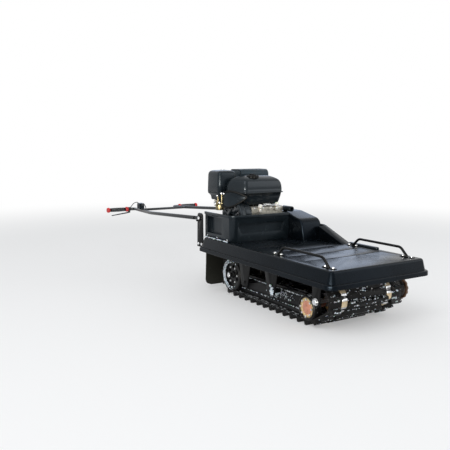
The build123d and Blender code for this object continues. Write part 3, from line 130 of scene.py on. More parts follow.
def patches(tree, place, size_mm, detail, roughness, stops):
    """Patches of wear, rust or dirt: noise of a real size, cut by a ramp with its (place, grey) stops."""
    cloud = add(tree, "TexNoise", blobs(place, size_mm, detail, roughness))
    return add(tree, "ValToRGB", {0: cloud, "stops": stops})


def laid_over(tree, base, mask, share, tone):
    """The base colour with a share of another tone laid over it where the mask is."""
    factor = add(tree, "Math", {"operation": "MULTIPLY", 0: mask, 1: share})
    return add(tree, "Mix", tones(factor, base, tone), MIXED)


def new_material(name):
    """An empty node material with its shader and the socket of the object coordinates."""
    material = bpy.data.materials.new(name)
    material.use_nodes = True
    tree = material.node_tree
    tree.nodes.clear()
    shader = add(tree, "BsdfPrincipled").node
    add(tree, "OutputMaterial", {"Surface": shader.outputs[0]})
    return material, tree, shader, add(tree, "TexCoord", out="Object")


def surface(shader, colour, roughness, height, strength, depth_mm, more=None):
    """Gives the shader its colour, its roughness, and the relief of a height pattern at its depth in mm."""
    tree = shader.id_data
    normal = add(tree, "Bump", {"Strength": strength, "Distance": depth_mm * MM, "Height": height})
    feed(tree, shader, {"Base Color": colour, "Roughness": roughness, "Normal": normal, **(more or {})})


def settled_snow(tree, place, colour, roughness, amount, snow_hex, lumps_mm):
    """Lays powdery patches where the surface faces up, broken up by noise.

    The mask is the upward part of the object's own normal plus two noises,
    cut by a narrow ramp. It returns the new colour, roughness and mask."""
    up_weight, lump_weight, fine_weight, snow_roughness = 0.10, 0.62, 0.38, 0.9
    bare, covered = 1 - amount - 0.012, 1 - amount + 0.018
    up = add(tree, "SeparateXYZ", {0: place.node.outputs["Normal"]}, "Z")
    lumps = add(tree, "TexNoise", blobs(place, lumps_mm, 6.0, 0.6))
    fine = add(tree, "TexNoise", blobs(place, lumps_mm / 5, 3.0, 0.7))
    score = add(tree, "Math", {"operation": "MULTIPLY", 0: fine, 1: fine_weight})
    score = add(tree, "Math", scaled(lumps, lump_weight, score))
    score = add(tree, "Math", scaled(up, up_weight, score))
    mask = add(tree, "ValToRGB", {0: score, "stops": ((bare, 0.0), (covered, 1.0))})
    new_roughness = add(tree, "Mix", {"data_type": "FLOAT", 0: mask, 2: roughness, 3: snow_roughness})
    return add(tree, "Mix", tones(mask, colour, snow_hex), MIXED), new_roughness, mask


# Finishes

def formed_abs():
    """Vacuum formed ABS: black, half gloss with a soft orange peel, fine scratches and pale dust."""
    material, tree, shader, place = new_material("formed_abs")
    cloud = add(tree, "TexNoise", blobs(place, 160, 6.0, 0.6))
    peel = add(tree, "TexNoise", blobs(place, 2.2, 2.0, 0.4))
    drawn_out = add(tree, "Mapping", {"Vector": place, "Scale": (1.0, 14.0, 1.0), "Rotation": (0, 0, 0.5)})
    scratches = patches(tree, drawn_out, 26, 9.0, 0.75, ((0.60, 0.0), (0.70, 1.0)))
    dust = add(tree, "ValToRGB", {0: cloud, "stops": ((0.35, 0.0), (0.75, 1.0))})
    base = add(tree, "Mix", tones(dust, "#06090c", "#0d1217"), MIXED)
    rough = add(tree, "Math", scaled(scratches, 0.15, add(tree, "Math", scaled(cloud, 0.22, 0.16))))
    height = add(tree, "Math", scaled(cloud, 2.0, peel))
    # Its bluish specular tint paints the sky's blue into its reflections.
    surface(shader, laid_over(tree, base, scratches, 0.14, "#3c434a"), rough, height, 0.2, 0.1,
            {"Specular IOR Level": 0.16, "Specular Tint": "#9fb6cf"})
    return material


def textured_abs():
    """Injection moulded black plastic: matte leather grain about two millimetres across."""
    material, tree, shader, place = new_material("textured_abs")
    grain = add(tree, "TexVoronoi", {"Vector": place, "Scale": 1 / (2.2 * MM)})
    cloud = add(tree, "TexNoise", blobs(place, 70, 5.0, 0.6))
    colour = add(tree, "Mix", tones(cloud, "#11161a", "#1f272c"), MIXED)
    # Its pale bluish specular tint paints a sky-blue cast into its reflections.
    surface(shader, colour, add(tree, "Math", scaled(cloud, 0.16, 0.17)), grain, 0.45, 0.18,
            {"Specular IOR Level": 0.3, "Specular Tint": "#c3cfda"})
    return material


def powder_coat():
    """Polyester powder coat on steel: black, fine orange peel, chips at noise peaks and a little snow."""
    material, tree, shader, place = new_material("powder_coat")
    peel = add(tree, "TexNoise", blobs(place, 1.6, 2.0, 0.5))
    cloud = add(tree, "TexNoise", blobs(place, 90, 5.0, 0.6))
    chips = patches(tree, place, 9, 8.0, 0.7, ((0.70, 0.0), (0.73, 1.0)))
    base = add(tree, "Mix", tones(cloud, "#060708", "#0e1012"), MIXED)
    worn = laid_over(tree, base, chips, 0.6, "#3a3029")
    colour, rough, snow = settled_snow(tree, place, worn, 0.30, 0.30, "#dfe5ea", 22)
    height = add(tree, "Math", scaled(snow, 4.0, peel))
    surface(shader, colour, rough, height, 0.4, 0.2, {"Specular IOR Level": 0.14})
    return material


def handle_coat():
    """Powder coat on the handlebar tubes: a bluish black, lighter than the frame's, as a painted sheen of the
    light along the tubes, and grey worn streaks that add to that painted sheen.
    """
    material, tree, shader, place = new_material("handle_coat")
    cloud = add(tree, "TexNoise", blobs(place, 60, 5.0, 0.6))
    peel = add(tree, "TexNoise", blobs(place, 1.4, 2.0, 0.5))
    wear = patches(tree, place, 14, 8.0, 0.72, ((0.66, 0.0), (0.72, 1.0)))
    # The lighter bluish base and the grey streaks paint in the sheen of light along the tubes.
    base = add(tree, "Mix", tones(cloud, "#101316", "#1c2126"), MIXED)
    rough = add(tree, "Math", scaled(cloud, 0.2, 0.22))
    surface(shader, laid_over(tree, base, wear, 0.35, "#5d5f62"), rough, peel, 0.3, 0.1)
    return material


def belt_rubber():
    """Reinforced track rubber: near black, dull, damp patches and powder snow packed in its corners."""
    material, tree, shader, place = new_material("belt_rubber")
    cloud = add(tree, "TexNoise", blobs(place, 45, 7.0, 0.65))
    crumb = add(tree, "TexNoise", blobs(place, 3.5, 4.0, 0.7))
    base = add(tree, "Mix", tones(cloud, "#050505", "#101112"), MIXED)
    damp = patches(tree, place, 80, 3.0, 0.5, ((0.45, 0.34), (0.6, 0.72)))
    colour, rough, snow = settled_snow(tree, place, base, damp, 0.345, "#e4e9ed", 13)
    height = add(tree, "Math", scaled(snow, 2.5, crumb))
    surface(shader, colour, rough, height, 0.6, 0.7, {"Specular IOR Level": 0.16})
    return material


def sheet_rubber():
    """Calendered rubber sheet: black, dull, with a faint cloth print and snow dust."""
    material, tree, shader, place = new_material("sheet_rubber")
    weave = add(tree, "TexVoronoi", {"Vector": place, "Scale": 1 / (3.0 * MM)})
    cloud = add(tree, "TexNoise", blobs(place, 110, 6.0, 0.65))
    base = add(tree, "Mix", tones(cloud, "#17180f", "#2a2a24"), MIXED)
    colour, rough, snow = settled_snow(tree, place, base, 0.5, 0.34, "#aeb6bd", 16)
    height = add(tree, "Math", scaled(snow, 2.0, weave))
    surface(shader, colour, rough, height, 0.4, 0.3, {"Specular IOR Level": 0.2})
    return material


def plated_clip():
    """Yellow passivated spring steel: pale tan plates, matt, with rust in the grain."""
    material, tree, shader, place = new_material("plated_clip")
    rust = patches(tree, place, 14, 6.0, 0.65, ((0.52, 0.0), (0.72, 1.0)))
    tan = add(tree, "Mix", tones(add(tree, "TexNoise", blobs(place, 40)), "#f4e4c4", "#e4c89c"), MIXED)
    rough = add(tree, "Math", scaled(rust, 0.3, 0.32))
    surface(shader, laid_over(tree, tan, rust, 0.5, "#a5743f"), rough, rust, 0.3, 0.1, {"Metallic": 0.25})
    return material


def bright_zinc():
    """Bright zinc plate on bolts and nuts: pale bluish metal with dull spots."""
    material, tree, shader, place = new_material("bright_zinc")
    spots = add(tree, "TexNoise", blobs(place, 5, 6.0, 0.65))
    colour = add(tree, "Mix", tones(spots, "#f0f2f4", "#b4b6b8"), MIXED)
    surface(shader, colour, add(tree, "Math", scaled(spots, 0.35, 0.12)), spots, 0.2, 0.05, {"Metallic": 1.0})
    return material


def worn_steel():
    """Turned steel shafts: dark grey, ring marks and freckles of rust."""
    material, tree, shader, place = new_material("worn_steel")
    rust = patches(tree, place, 11, 8.0, 0.7, ((0.50, 0.0), (0.62, 1.0)))
    along_shaft = add(tree, "Mapping", {"Vector": place, "Scale": (0.1, 6.0, 0.1)})
    rings = add(tree, "TexNoise", blobs(along_shaft, 6))
    steel = add(tree, "Mix", tones(rings, "#76767a", "#9a9a9c"), MIXED)
    rough = add(tree, "Math", scaled(rust, 0.4, 0.3))
    surface(shader, laid_over(tree, steel, rust, 0.75, "#5a3a22"), rough, rings, 0.2, 0.05, {"Metallic": 0.8})
    return material


def oiled_chain():
    """Roller chain: oiled dark steel with brown rust in the joints."""
    material, tree, shader, place = new_material("oiled_chain")
    rust = patches(tree, place, 6, 8.0, 0.7, ((0.40, 0.0), (0.62, 1.0)))
    colour = add(tree, "Mix", tones(rust, "#3c3936", "#70492a"), MIXED)
    surface(shader, colour, add(tree, "Math", scaled(rust, 0.4, 0.3)), rust, 0.4, 0.2, {"Metallic": 0.6})
    return material


def wheel_rubber():
    """Solid wheel tyre: smooth black rubber, polished by the belt, with a powder of snow."""
    material, tree, shader, place = new_material("wheel_rubber")
    cloud = add(tree, "TexNoise", blobs(place, 30, 5.0, 0.6))
    base = add(tree, "Mix", tones(cloud, "#060606", "#101112"), MIXED)
    colour, rough, _ = settled_snow(tree, place, base, 0.42, 0.36, "#e6ebef", 14)
    surface(shader, colour, rough, cloud, 0.3, 0.2, {"Specular IOR Level": 0.2})
    return material


def passivated_disc():
    """Wheel discs: a pale yellow passivated rim round a rust pink centre, with streaks of rust.

    The tone follows the distance from the axle, which runs along Y."""
    centre_radius, rim_radius, wobble_mm = 38, 42, 8
    material, tree, shader, place = new_material("passivated_disc")
    axle_x, axle_z, _ = wheel_circle(FRONT_LOW, FRONT_HIGH)
    centred = add(tree, "Mapping", {"Vector": place, "Location": (-axle_x * MM, 0, -axle_z * MM)})
    flat = add(tree, "VectorMath", {"operation": "MULTIPLY", 0: centred, 1: (1, 0, 1)})
    reach = add(tree, "VectorMath", {"operation": "LENGTH", 0: flat}, "Value")
    wobbly = add(tree, "Math", scaled(add(tree, "TexNoise", blobs(place, 12)), wobble_mm * MM, reach))
    outer = add(tree, "MapRange", {"Value": wobbly, "From Min": centre_radius * MM,
                                   "From Max": rim_radius * MM})
    rust = patches(tree, place, 16, 8.0, 0.72, ((0.46, 0.0), (0.66, 1.0)))
    base = add(tree, "Mix", tones(outer, "#d3927a", "#dcc894"), MIXED)
    rough = add(tree, "Math", scaled(rust, 0.35, 0.35))
    surface(shader, laid_over(tree, base, rust, 0.55, "#a8693c"), rough, rust, 0.4, 0.15, {"Metallic": 0.2})
    return material


def nylon():
    """Moulded nylon: black, waxy half gloss with pale scuffs."""
    material, tree, shader, place = new_material("black_nylon")
    scuff = patches(tree, place, 12, 8.0, 0.7, ((0.58, 0.0), (0.70, 1.0)))
    base = add(tree, "Mix", tones(add(tree, "TexNoise", blobs(place, 40)), "#08090a", "#131416"), MIXED)
    rough = add(tree, "Math", scaled(scuff, 0.2, 0.34))
    surface(shader, laid_over(tree, base, scuff, 0.35, "#43474b"), rough, scuff, 0.2, 0.1,
            {"Specular IOR Level": 0.25})
    return material


def cast_alloy():
    """Die cast engine alloy under grey paint: sandy skin, oil dust in the hollows."""
    material, tree, shader, place = new_material("cast_alloy")
    sand = add(tree, "TexNoise", blobs(place, 1.8, 3.0, 0.6))
    dirt = patches(tree, place, 35, 8.0, 0.68, ((0.40, 0.0), (0.70, 1.0)))
    colour = add(tree, "Mix", tones(dirt, "#b9b6ab", "#35322c"), MIXED)
    surface(shader, colour, add(tree, "Math", scaled(dirt, 0.3, 0.38)), sand, 0.5, 0.2, {"Metallic": 0.7})
    return material


def gloss_enamel():
    """Baked enamel on pressed steel: deep black gloss with faint waves, fine dust and a clear coat."""
    material, tree, shader, place = new_material("gloss_enamel")
    cloud = add(tree, "TexNoise", blobs(place, 120, 6.0, 0.6))
    dust = patches(tree, place, 4, 6.0, 0.7, ((0.55, 0.0), (0.8, 1.0)))
    colour = add(tree, "Mix", tones(dust, "#191f23", "#323b41"), MIXED)
    # Its pale bluish specular tint paints a sky-blue cast into its reflections.
    surface(shader, colour, add(tree, "Math", scaled(cloud, 0.16, 0.14)), cloud, 0.25, 0.6,
            {"Specular IOR Level": 0.3, "Specular Tint": "#c3cfda", "Coat Weight": 0.12,
             "Coat Roughness": 0.08})
    return material


def black_cap():
    """Moulded filler cap: black glossy plastic with fine mould marks."""
    material, tree, shader, place = new_material("black_cap")
    fine = add(tree, "TexNoise", blobs(place, 6, 4.0, 0.6))
    colour = add(tree, "Mix", tones(fine, "#040505", "#0b0c0d"), MIXED)
    surface(shader, colour, add(tree, "Math", scaled(fine, 0.2, 0.42)), fine, 0.2, 0.1,
            {"Specular IOR Level": 0.15})
    return material


def ivory_cap():
    """Oil filler caps: ivory plastic, a little translucent and stained by oil."""
    material, tree, shader, place = new_material("ivory_cap")
    stain = patches(tree, place, 9, 6.0, 0.65, ((0.45, 0.0), (0.75, 1.0)))
    colour = add(tree, "Mix", tones(stain, "#faf8f1", "#dccfae"), MIXED)
    surface(shader, colour, add(tree, "Math", scaled(stain, 0.2, 0.3)), stain, 0.2, 0.1,
            {"Subsurface Weight": 0.1})
    return material


def sooty_steel():
    """Heat resistant coating on the silencer: dark, with a teal cast that is a painted reflection of the
    bluish sky, soot and light rust.
    """
    material, tree, shader, place = new_material("sooty_steel")
    soot = add(tree, "TexNoise", blobs(place, 50, 7.0, 0.66))
    rust = patches(tree, place, 14, 8.0, 0.72, ((0.60, 0.0), (0.72, 1.0)))
    # Both tones carry the teal cast, a painted reflection of the sky.
    base = add(tree, "Mix", tones(soot, "#0a1a22", "#18303c"), MIXED)
    rough = add(tree, "Math", scaled(soot, 0.3, 0.34))
    surface(shader, laid_over(tree, base, rust, 0.5, "#5a3b28"), rough, soot, 0.3, 0.2, {"Metallic": 0.35})
    return material


def brassy_casting():
    """Zinc alloy casting of the fuel side: warm grey yellow with bright edges."""
    material, tree, shader, place = new_material("brassy_casting")
    mottle = add(tree, "TexNoise", blobs(place, 12, 6.0, 0.65))
    colour = add(tree, "Mix", tones(mottle, "#b3a781", "#6f6548"), MIXED)
    rough = add(tree, "Math", scaled(mottle, 0.3, 0.25))
    surface(shader, colour, rough, mottle, 0.3, 0.15, {"Metallic": 0.8})
    return material


def chequered_rubber():
    """Grip rubber: black, with the raised diamonds of its chequer rubbed pale.

    The relief attribute of the grip's mesh runs from 0 in the grooves to 1 on the diamonds."""
    material, tree, shader, place = new_material("chequered_rubber")
    relief = add(tree, "Attribute", {"attribute_name": "relief"}, "Fac")
    rubbed = add(tree, "ValToRGB", {0: relief, "stops": ((0.70, 0.0), (0.95, 1.0))})
    cloud = add(tree, "TexNoise", blobs(place, 14, 4.0, 0.6))
    black = add(tree, "Mix", tones(cloud, "#060707", "#111213"), MIXED)
    colour = add(tree, "Mix", tones(rubbed, black, "#7d7f82"), MIXED)
    surface(shader, colour, 0.55, cloud, 0.3, 0.2, {"Specular IOR Level": 0.2})
    return material


def red_rubber():
    """Red rubber of the grip collars: soft, slightly faded."""
    material, tree, shader, place = new_material("red_rubber")
    fade = add(tree, "TexNoise", blobs(place, 18, 5.0, 0.6))
    colour = add(tree, "Mix", tones(fade, "#e32a2c", "#b81a1c"), MIXED)
    surface(shader, colour, add(tree, "Math", scaled(fade, 0.2, 0.42)), fade, 0.2, 0.1)
    return material


def cable_vinyl():
    """Vinyl sleeve of a control cable: black, half gloss, faintly ringed by its winding."""
    material, tree, shader, place = new_material("cable_vinyl")
    rings = add(tree, "TexNoise", blobs(place, 3, 2.0, 0.5))
    surface(shader, add(tree, "Mix", tones(rings, "#0a0b0c", "#17181a"), MIXED), 0.4, rings, 0.3, 0.1)
    return material


def lever_coat():
    """Black coated alloy lever: satin, thin at the edges."""
    material, tree, shader, place = new_material("lever_coat")
    wear = patches(tree, place, 8, 7.0, 0.7, ((0.58, 0.0), (0.70, 1.0)))
    rough = add(tree, "Math", scaled(wear, 0.1, 0.3))
    surface(shader, laid_over(tree, "#17181a", wear, 0.5, "#77797b"), rough, wear, 0.2, 0.05)
    return material


def snow_powder():
    """Wind packed powder snow: white, with noise patches of pale blue grey as painted shade in its hollows,
    fully rough, grain of 1 mm.
    """
    material, tree, shader, place = new_material("snow_powder")
    painted_hollow_shade = add(tree, "TexNoise", blobs(place, 9, 5.0, 0.6))
    grain = add(tree, "TexNoise", blobs(place, 1.2, 2.0, 0.5))
    # The pale blue grey tone is painted shade, laid where the noise is low.
    surface(shader, add(tree, "Mix", tones(painted_hollow_shade, "#cfd8e2", "#f4f7fa"), MIXED), 0.9, grain, 0.5, 0.4,
            {"Subsurface Weight": 0.15})
    return material


FINISHES = {
    "hood_plastic": formed_abs, "box_plastic": textured_abs, "filter_plastic": textured_abs,
    "frame_paint": powder_coat, "track_rubber": belt_rubber, "flap_rubber": sheet_rubber,
    "clip_steel": plated_clip, "bright_steel": bright_zinc, "axle_steel": worn_steel,
    "chain_steel": oiled_chain, "wheel_rubber": wheel_rubber, "hub_steel": passivated_disc,
    "wheel_plastic": nylon, "slide_plastic": nylon, "engine_alloy": cast_alloy,
    "engine_black": gloss_enamel, "tank_paint": gloss_enamel, "cap_black": black_cap,
    "cap_ivory": ivory_cap, "muffler_steel": sooty_steel, "carburettor_alloy": brassy_casting,
    "grip_rubber": chequered_rubber, "grip_red": red_rubber, "lever_black": lever_coat,
    "cable_sleeve": cable_vinyl,
}
NODE_FINISHES = {
    "handlebar_tube_left": handle_coat, "handlebar_tube_right": handle_coat,
    "handlebar_cross_bar": handle_coat,
}
_made = {}


def finish_of(slot, node=None):
    """The material of a slot, or of a node that has its own, made once for each finish."""
    maker = NODE_FINISHES.get(node, FINISHES[slot])
    if maker.__name__ not in _made:
        _made[maker.__name__] = maker()
    return _made[maker.__name__]


# Meshes

def place_piece(name, mesh, slot, body, replaced=()):
    """Links a finished mesh as a piece, gives it the finish of its slot, hangs it on its body and hides the
    CAD nodes that it replaces.
    """
    piece = bpy.data.objects.new(name, mesh)
    bpy.context.scene.collection.objects.link(piece)
    mesh.materials.clear()
    mesh.materials.append(finish_of(slot, replaced[0] if replaced else None))
    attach(piece, body)
    if replaced:
        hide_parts(*replaced)
    return piece


def soften(piece, width_mm, segments=2, angle=32):
    """Rounds a piece's sharp edges and shades it smooth between them."""
    for polygon in piece.data.polygons:
        polygon.use_smooth = True
    bevel = piece.modifiers.new("round_edges", "BEVEL")
    bevel.width = width_mm * MM
    bevel.segments = segments
    bevel.limit_method = "ANGLE"
    bevel.angle_limit = radians(angle)
    bevel.harden_normals = True
    return piece


def dressed_copy(node, width_mm, angle=32):
    """A copy of a CAD node with its corners merged, its flat faces joined and its edges rounded."""
    source = frame["nodes"][node]
    work = bmesh.new()
    work.from_mesh(source.data)
    merge_mm, flat_degrees = 0.01, 0.6
    bmesh.ops.remove_doubles(work, verts=work.verts, dist=merge_mm * MM)
    bmesh.ops.dissolve_limit(work, angle_limit=radians(flat_degrees), verts=work.verts, edges=work.edges)
    mesh = bpy.data.meshes.new(node + "_skin")
    work.to_mesh(mesh)
    work.free()
    piece = place_piece(node + "_skin", mesh, SLOT_OF[node], BODY_OF[node], (node,))
    return soften(piece, width_mm, angle=angle)


# Surfaces worked out as whole arrays, in millimetres of the frame

def mesh_from(name, verts, quads):
    """A mesh from an array of points in mm and an array of quads or triangles."""
    mesh = bpy.data.meshes.new(name)
    mesh.from_pydata((np.asarray(verts, float) * MM).tolist(), [], [list(face) for face in quads])
    mesh.validate()
    return mesh


def grid_quads(rows, columns, wrap_rows, wrap_columns):
    """Quads between neighbours of a grid of points, joined at its ends where it wraps."""
    i = np.arange(rows if wrap_rows else rows - 1)[:, None]
    j = np.arange(columns if wrap_columns else columns - 1)[None, :]
    after_i, after_j = (i + 1) % rows, (j + 1) % columns
    corners = (i * columns + j, i * columns + after_j, after_i * columns + after_j, after_i * columns + j)
    return np.stack([np.broadcast_to(c, (i.size, j.size)) for c in corners], -1).reshape(-1, 4)


def skin(rings):
    """A closed form from an array of rings of points, with quads between them and a cap on each end ring."""
    count, sides = rings.shape[:2]
    faces = grid_quads(count, sides, False, True).tolist()
    faces.extend([list(range(sides))[::-1], list(range((count - 1) * sides, count * sides))])
    return rings.reshape(-1, 3), faces


def turned(profile, segments):
    """A closed turned form about Z. The profile lists radius and height from the lower pole to the upper one.

    Each point is (r cos a, r sin a, h), and the poles have a radius close to zero."""
    profile = np.asarray(profile, float)
    angle = np.linspace(0, 2 * pi, segments, endpoint=False)
    radius, height = profile[:, 0][:, None], profile[:, 1][:, None]
    return skin(np.stack([radius * np.cos(angle), radius * np.sin(angle), height + 0 * angle], -1))


def copies(points, faces, places, axes, scales=None):
    """Many copies of one shape: each point is place + axes @ (scale * point)."""
    points = np.asarray(points, float)
    places, axes = np.asarray(places, float), np.asarray(axes, float)
    scaled_points = points[None] if scales is None else points[None] * np.asarray(scales, float)[:, None, :]
    scaled_points = np.broadcast_to(scaled_points, (len(places), *points.shape))
    moved = places[:, None, :] + np.einsum("nij,nkj->nki", axes, scaled_points)
    count = len(points)
    all_faces = []
    for k in range(len(places)):
        all_faces.extend([[index + k * count for index in face] for face in faces])
    return moved.reshape(-1, 3), all_faces


def frame_of(normal, spin=0.0):
    """Axes whose third one is the normal, turned about it, for arrays of normals."""
    normal = np.atleast_2d(np.asarray(normal, float))
    normal = normal / np.linalg.norm(normal, axis=1)[:, None]
    helper = np.where(np.abs(normal[:, 2:3]) < 0.9, [[0.0, 0.0, 1.0]], [[1.0, 0.0, 0.0]])
    first = np.cross(helper, normal)
    first /= np.linalg.norm(first, axis=1)[:, None]
    second = np.cross(normal, first)
    spin = np.broadcast_to(np.asarray(spin, float), (len(normal),))[:, None]
    a = first * np.cos(spin) + second * np.sin(spin)
    b = np.cross(normal, a)
    return np.stack([a, b, normal], -1)


def placed(form, place, normal, spin=0.0):
    """One copy of a form, standing on its place along a normal and turned about it."""
    return copies(*form, [place], frame_of([normal], spin))


def upright(form, places):
    """Copies of a form, standing upright on their places."""
    return copies(*form, places, np.repeat(np.eye(3)[None], len(places), 0))


def tube_along(points, radius, sides=12):
    """A round tube along a smooth curve through the points, with closed ends.

    The curve is a cubic spline through every point, sampled as an array. Each ring stands square to it."""
    points = np.asarray(points, float)
    padded = np.vstack([2 * points[0] - points[1], points, 2 * points[-1] - points[-2]])
    steps = 8
    t = np.linspace(0, 1, steps + 1)[:-1][:, None]
    spans = []
    for p0, p1, p2, p3 in zip(padded, padded[1:], padded[2:], padded[3:]):
        spans.append(0.5 * (2 * p1 + (p2 - p0) * t + (2 * p0 - 5 * p1 + 4 * p2 - p3) * t ** 2
                            + (3 * p1 - p0 - 3 * p2 + p3) * t ** 3))
    line = np.vstack([*spans, points[-1:]])
    along = np.gradient(line, axis=0)
    axes = frame_of(along)
    angle = np.linspace(0, 2 * pi, sides, endpoint=False)
    ring = (axes[:, None, :, 0] * np.cos(angle)[None, :, None]
            + axes[:, None, :, 1] * np.sin(angle)[None, :, None])
    return skin(line[:, None, :] + radius * ring)


def joined(shapes):
    """One set of points and faces from several."""
    points, faces, start = [], [], 0
    for verts, polygons in shapes:
        points.append(np.asarray(verts))
        faces.extend([[index + start for index in face] for face in polygons])
        start += len(verts)
    return np.vstack(points), faces


def rounded_outline(corners, steps):
    """A closed outline from (x, y, radius) corners in order, with an arc of its radius at each corner."""
    corners = np.asarray(corners, float)
    points = []
    for before, here, after in zip(np.roll(corners, 1, 0), corners, np.roll(corners, -1, 0)):
        to_before, to_after = before[:2] - here[:2], after[:2] - here[:2]
        to_before, to_after = to_before / np.linalg.norm(to_before), to_after / np.linalg.norm(to_after)
        half = np.arccos(np.clip(to_before @ to_after, -1, 1)) / 2
        middle = to_before + to_after
        centre = here[:2] + middle / np.linalg.norm(middle) * here[2] / np.sin(half)
        first = here[:2] + to_before * here[2] / np.tan(half) - centre
        last = here[:2] + to_after * here[2] / np.tan(half) - centre
        start = np.arctan2(first[1], first[0])
        turn = (np.arctan2(last[1], last[0]) - start + pi) % (2 * pi) - pi
        angle = start + turn * np.linspace(0, 1, steps)
        points.append(centre + here[2] * np.stack([np.cos(angle), np.sin(angle)], -1))
    return np.vstack(points)


def inset_outline(outline, centre, inset):
    """The outline drawn in towards its centre, by about the same distance all round."""
    half = (outline.max(0) - outline.min(0)) / 2
    return centre + (outline - centre) * (1 - inset / half)


def piece_of(name, shapes, slot, body, replaced=(), edge_mm=0.0, finish=None):
    """A piece from several shapes, with smooth shading, rounded edges and outward faces."""
    verts, faces = joined(shapes)
    mesh = mesh_from(name, verts, faces)
    work = bmesh.new()
    work.from_mesh(mesh)
    bmesh.ops.recalc_face_normals(work, faces=work.faces)
    work.to_mesh(mesh)
    work.free()
    piece = place_piece(name, mesh, slot, body, replaced)
    if finish:
        mesh.materials.clear()
        mesh.materials.append(finish)
    if edge_mm:
        soften(piece, edge_mm)
    else:
        for polygon in mesh.polygons:
            polygon.use_smooth = True
    return piece


def hex_head(across, height):
    """A hexagon head with a chamfered top, standing on Z = 0."""
    radius, chamfer_height, chamfer_radius = across / 2 / cos(pi / 6), 0.78, 0.86
    return turned([(radius, 0), (radius, height * chamfer_height), (radius * chamfer_radius, height),
                   (0.05, height)], 6)


def blob():
    """A lump of 18 points: an octahedron split once, with its points set on a unit ball."""
    base = np.array([(1, 0, 0), (-1, 0, 0), (0, 1, 0), (0, -1, 0), (0, 0, 1), (0, 0, -1)], float)
    points, middles, faces = [tuple(v) for v in base], {}, []

    def middle(a, b):
        key = (min(a, b), max(a, b))
        if key not in middles:
            half = base[a] + base[b]
            middles[key] = len(points)
            points.append(tuple(half / np.linalg.norm(half)))
        return middles[key]

    for x in (0, 1):
        for y in (2, 3):
            for z in (4, 5):
                a, b, c = (x, y, z) if (x + y + z) % 2 == 0 else (y, x, z)
                ab, bc, ca = middle(a, b), middle(b, c), middle(c, a)
                faces.extend([[a, ab, ca], [ab, b, bc], [ca, bc, c], [ab, bc, ca]])
    return np.array(points), faces


def circle_loop(circles):
    """Runs and arcs of a band round the circles: lists of start length, kind and data."""
    table, start = [], 0.0
    count = len(circles)
    turns = []
    for k in range(count):
        (x0, z0, r0), (x1, z1, r1) = circles[k], circles[(k + 1) % count]
        gap = np.hypot(x1 - x0, z1 - z0)
        turns.append(np.arctan2(z1 - z0, x1 - x0) - pi / 2 + np.arcsin((r0 - r1) / gap))
    for k in range(count):
        (x0, z0, r0), (x1, z1, r1) = circles[k], circles[(k + 1) % count]
        turn = turns[k]
        a = np.array([x0 + r0 * np.cos(turn), z0 + r0 * np.sin(turn)])
        b = np.array([x1 + r1 * np.cos(turn), z1 + r1 * np.sin(turn)])
        length = np.linalg.norm(b - a)
        table.append((start, length, "run", a, turn))
        start += length
        swept = (turns[(k + 1) % count] - turn) % (2 * pi)
        table.append((start, swept * r1, "arc", (x1, z1, r1), turn))
        start += swept * r1
    return table, start


def on_loop(loop, distance):
    """Place and normal angle of the band for an array of distances along it."""
    table, total = loop
    distance = np.asarray(distance, float) % total
    x, z, angle = np.zeros_like(distance), np.zeros_like(distance), np.zeros_like(distance)
    for start, length, kind, data, turn in table:
        here = (distance >= start) & (distance <= start + length)
        rest = distance[here] - start
        if kind == "run":
            x[here] = data[0] + rest * np.cos(turn + pi / 2)
            z[here] = data[1] + rest * np.sin(turn + pi / 2)
            angle[here] = turn
        else:
            cx, cz, r = data
            angle[here] = turn + rest / r
            x[here], z[here] = cx + r * np.cos(angle[here]), cz + r * np.sin(angle[here])
    return x, z, angle


def box_mm(node):
    """Lowest and highest corners of a node in mm."""
    low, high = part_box(node)
    return np.array(low) / MM, np.array(high) / MM


# Sizes in mm that the scene shares with the frame
FRONT_LOW, FRONT_HIGH = box_mm("front_tyres")
REAR_LOW, REAR_HIGH = box_mm("rear_tyres")
RUNNING_GAP = 0.3
DRIVE_BACK, DRIVE_Z, DRIVE_RADIUS = 183, 152, 65
BELT_THICKNESS, LUG_HEIGHT, LUG_COUNT = 8, 22, 35
WINDOW_LENGTH, WINDOW_Y = 32, 156
NOSE_X = CAD_BOX[1][0] / MM
# Middle of the snow splash on the beams' panels
SPLASH_X, SPLASH_Z = 735, 103


def wheel_circle(low, high):
    """Centre and belt radius of a pair of wheels from their box."""
    return ((low[0] + high[0]) / 2, (low[2] + high[2]) / 2, (high[2] - low[2]) / 2 + RUNNING_GAP)


TRACK_LOOP = circle_loop((wheel_circle(REAR_LOW, REAR_HIGH), wheel_circle(FRONT_LOW, FRONT_HIGH),
                          (NOSE_X - DRIVE_BACK, DRIVE_Z, DRIVE_RADIUS)))
LUG_PITCH = TRACK_LOOP[1] / LUG_COUNT


class TugSettings(PropertyGroup):
    """Sizes and colours that a user would change."""
    lens_mm: FloatProperty(name="Lens", description="Focal length of the camera in mm", default=46.16, min=10,
                           max=200, unit="CAMERA")
    sun_watts: FloatProperty(name="Key lamp", description="Power of the key lamp, which the others follow",
                             default=95.0, min=0, unit="POWER")
    floor_colour: StringProperty(name="Floor colour", description="sRGB hex value of the floor",
                                 default="#f2f3f4")
    edge_mm: FloatProperty(name="Edge radius", description="Rounding of moulded and pressed edges, in mm",
                           default=1.6, min=0.1, max=6)


# Stage

def seen_rays(tree):
    """One for rays of the camera, of gloss and of glass, which see the background, and zero for light."""
    path = add(tree, "LightPath").node.outputs
    direct = add(tree, "Math", {"operation": "MAXIMUM", 0: path["Is Camera Ray"], 1: path["Is Glossy Ray"]})
    return add(tree, "Math", {"operation": "MAXIMUM", 0: direct, 1: path["Is Transmission Ray"]})


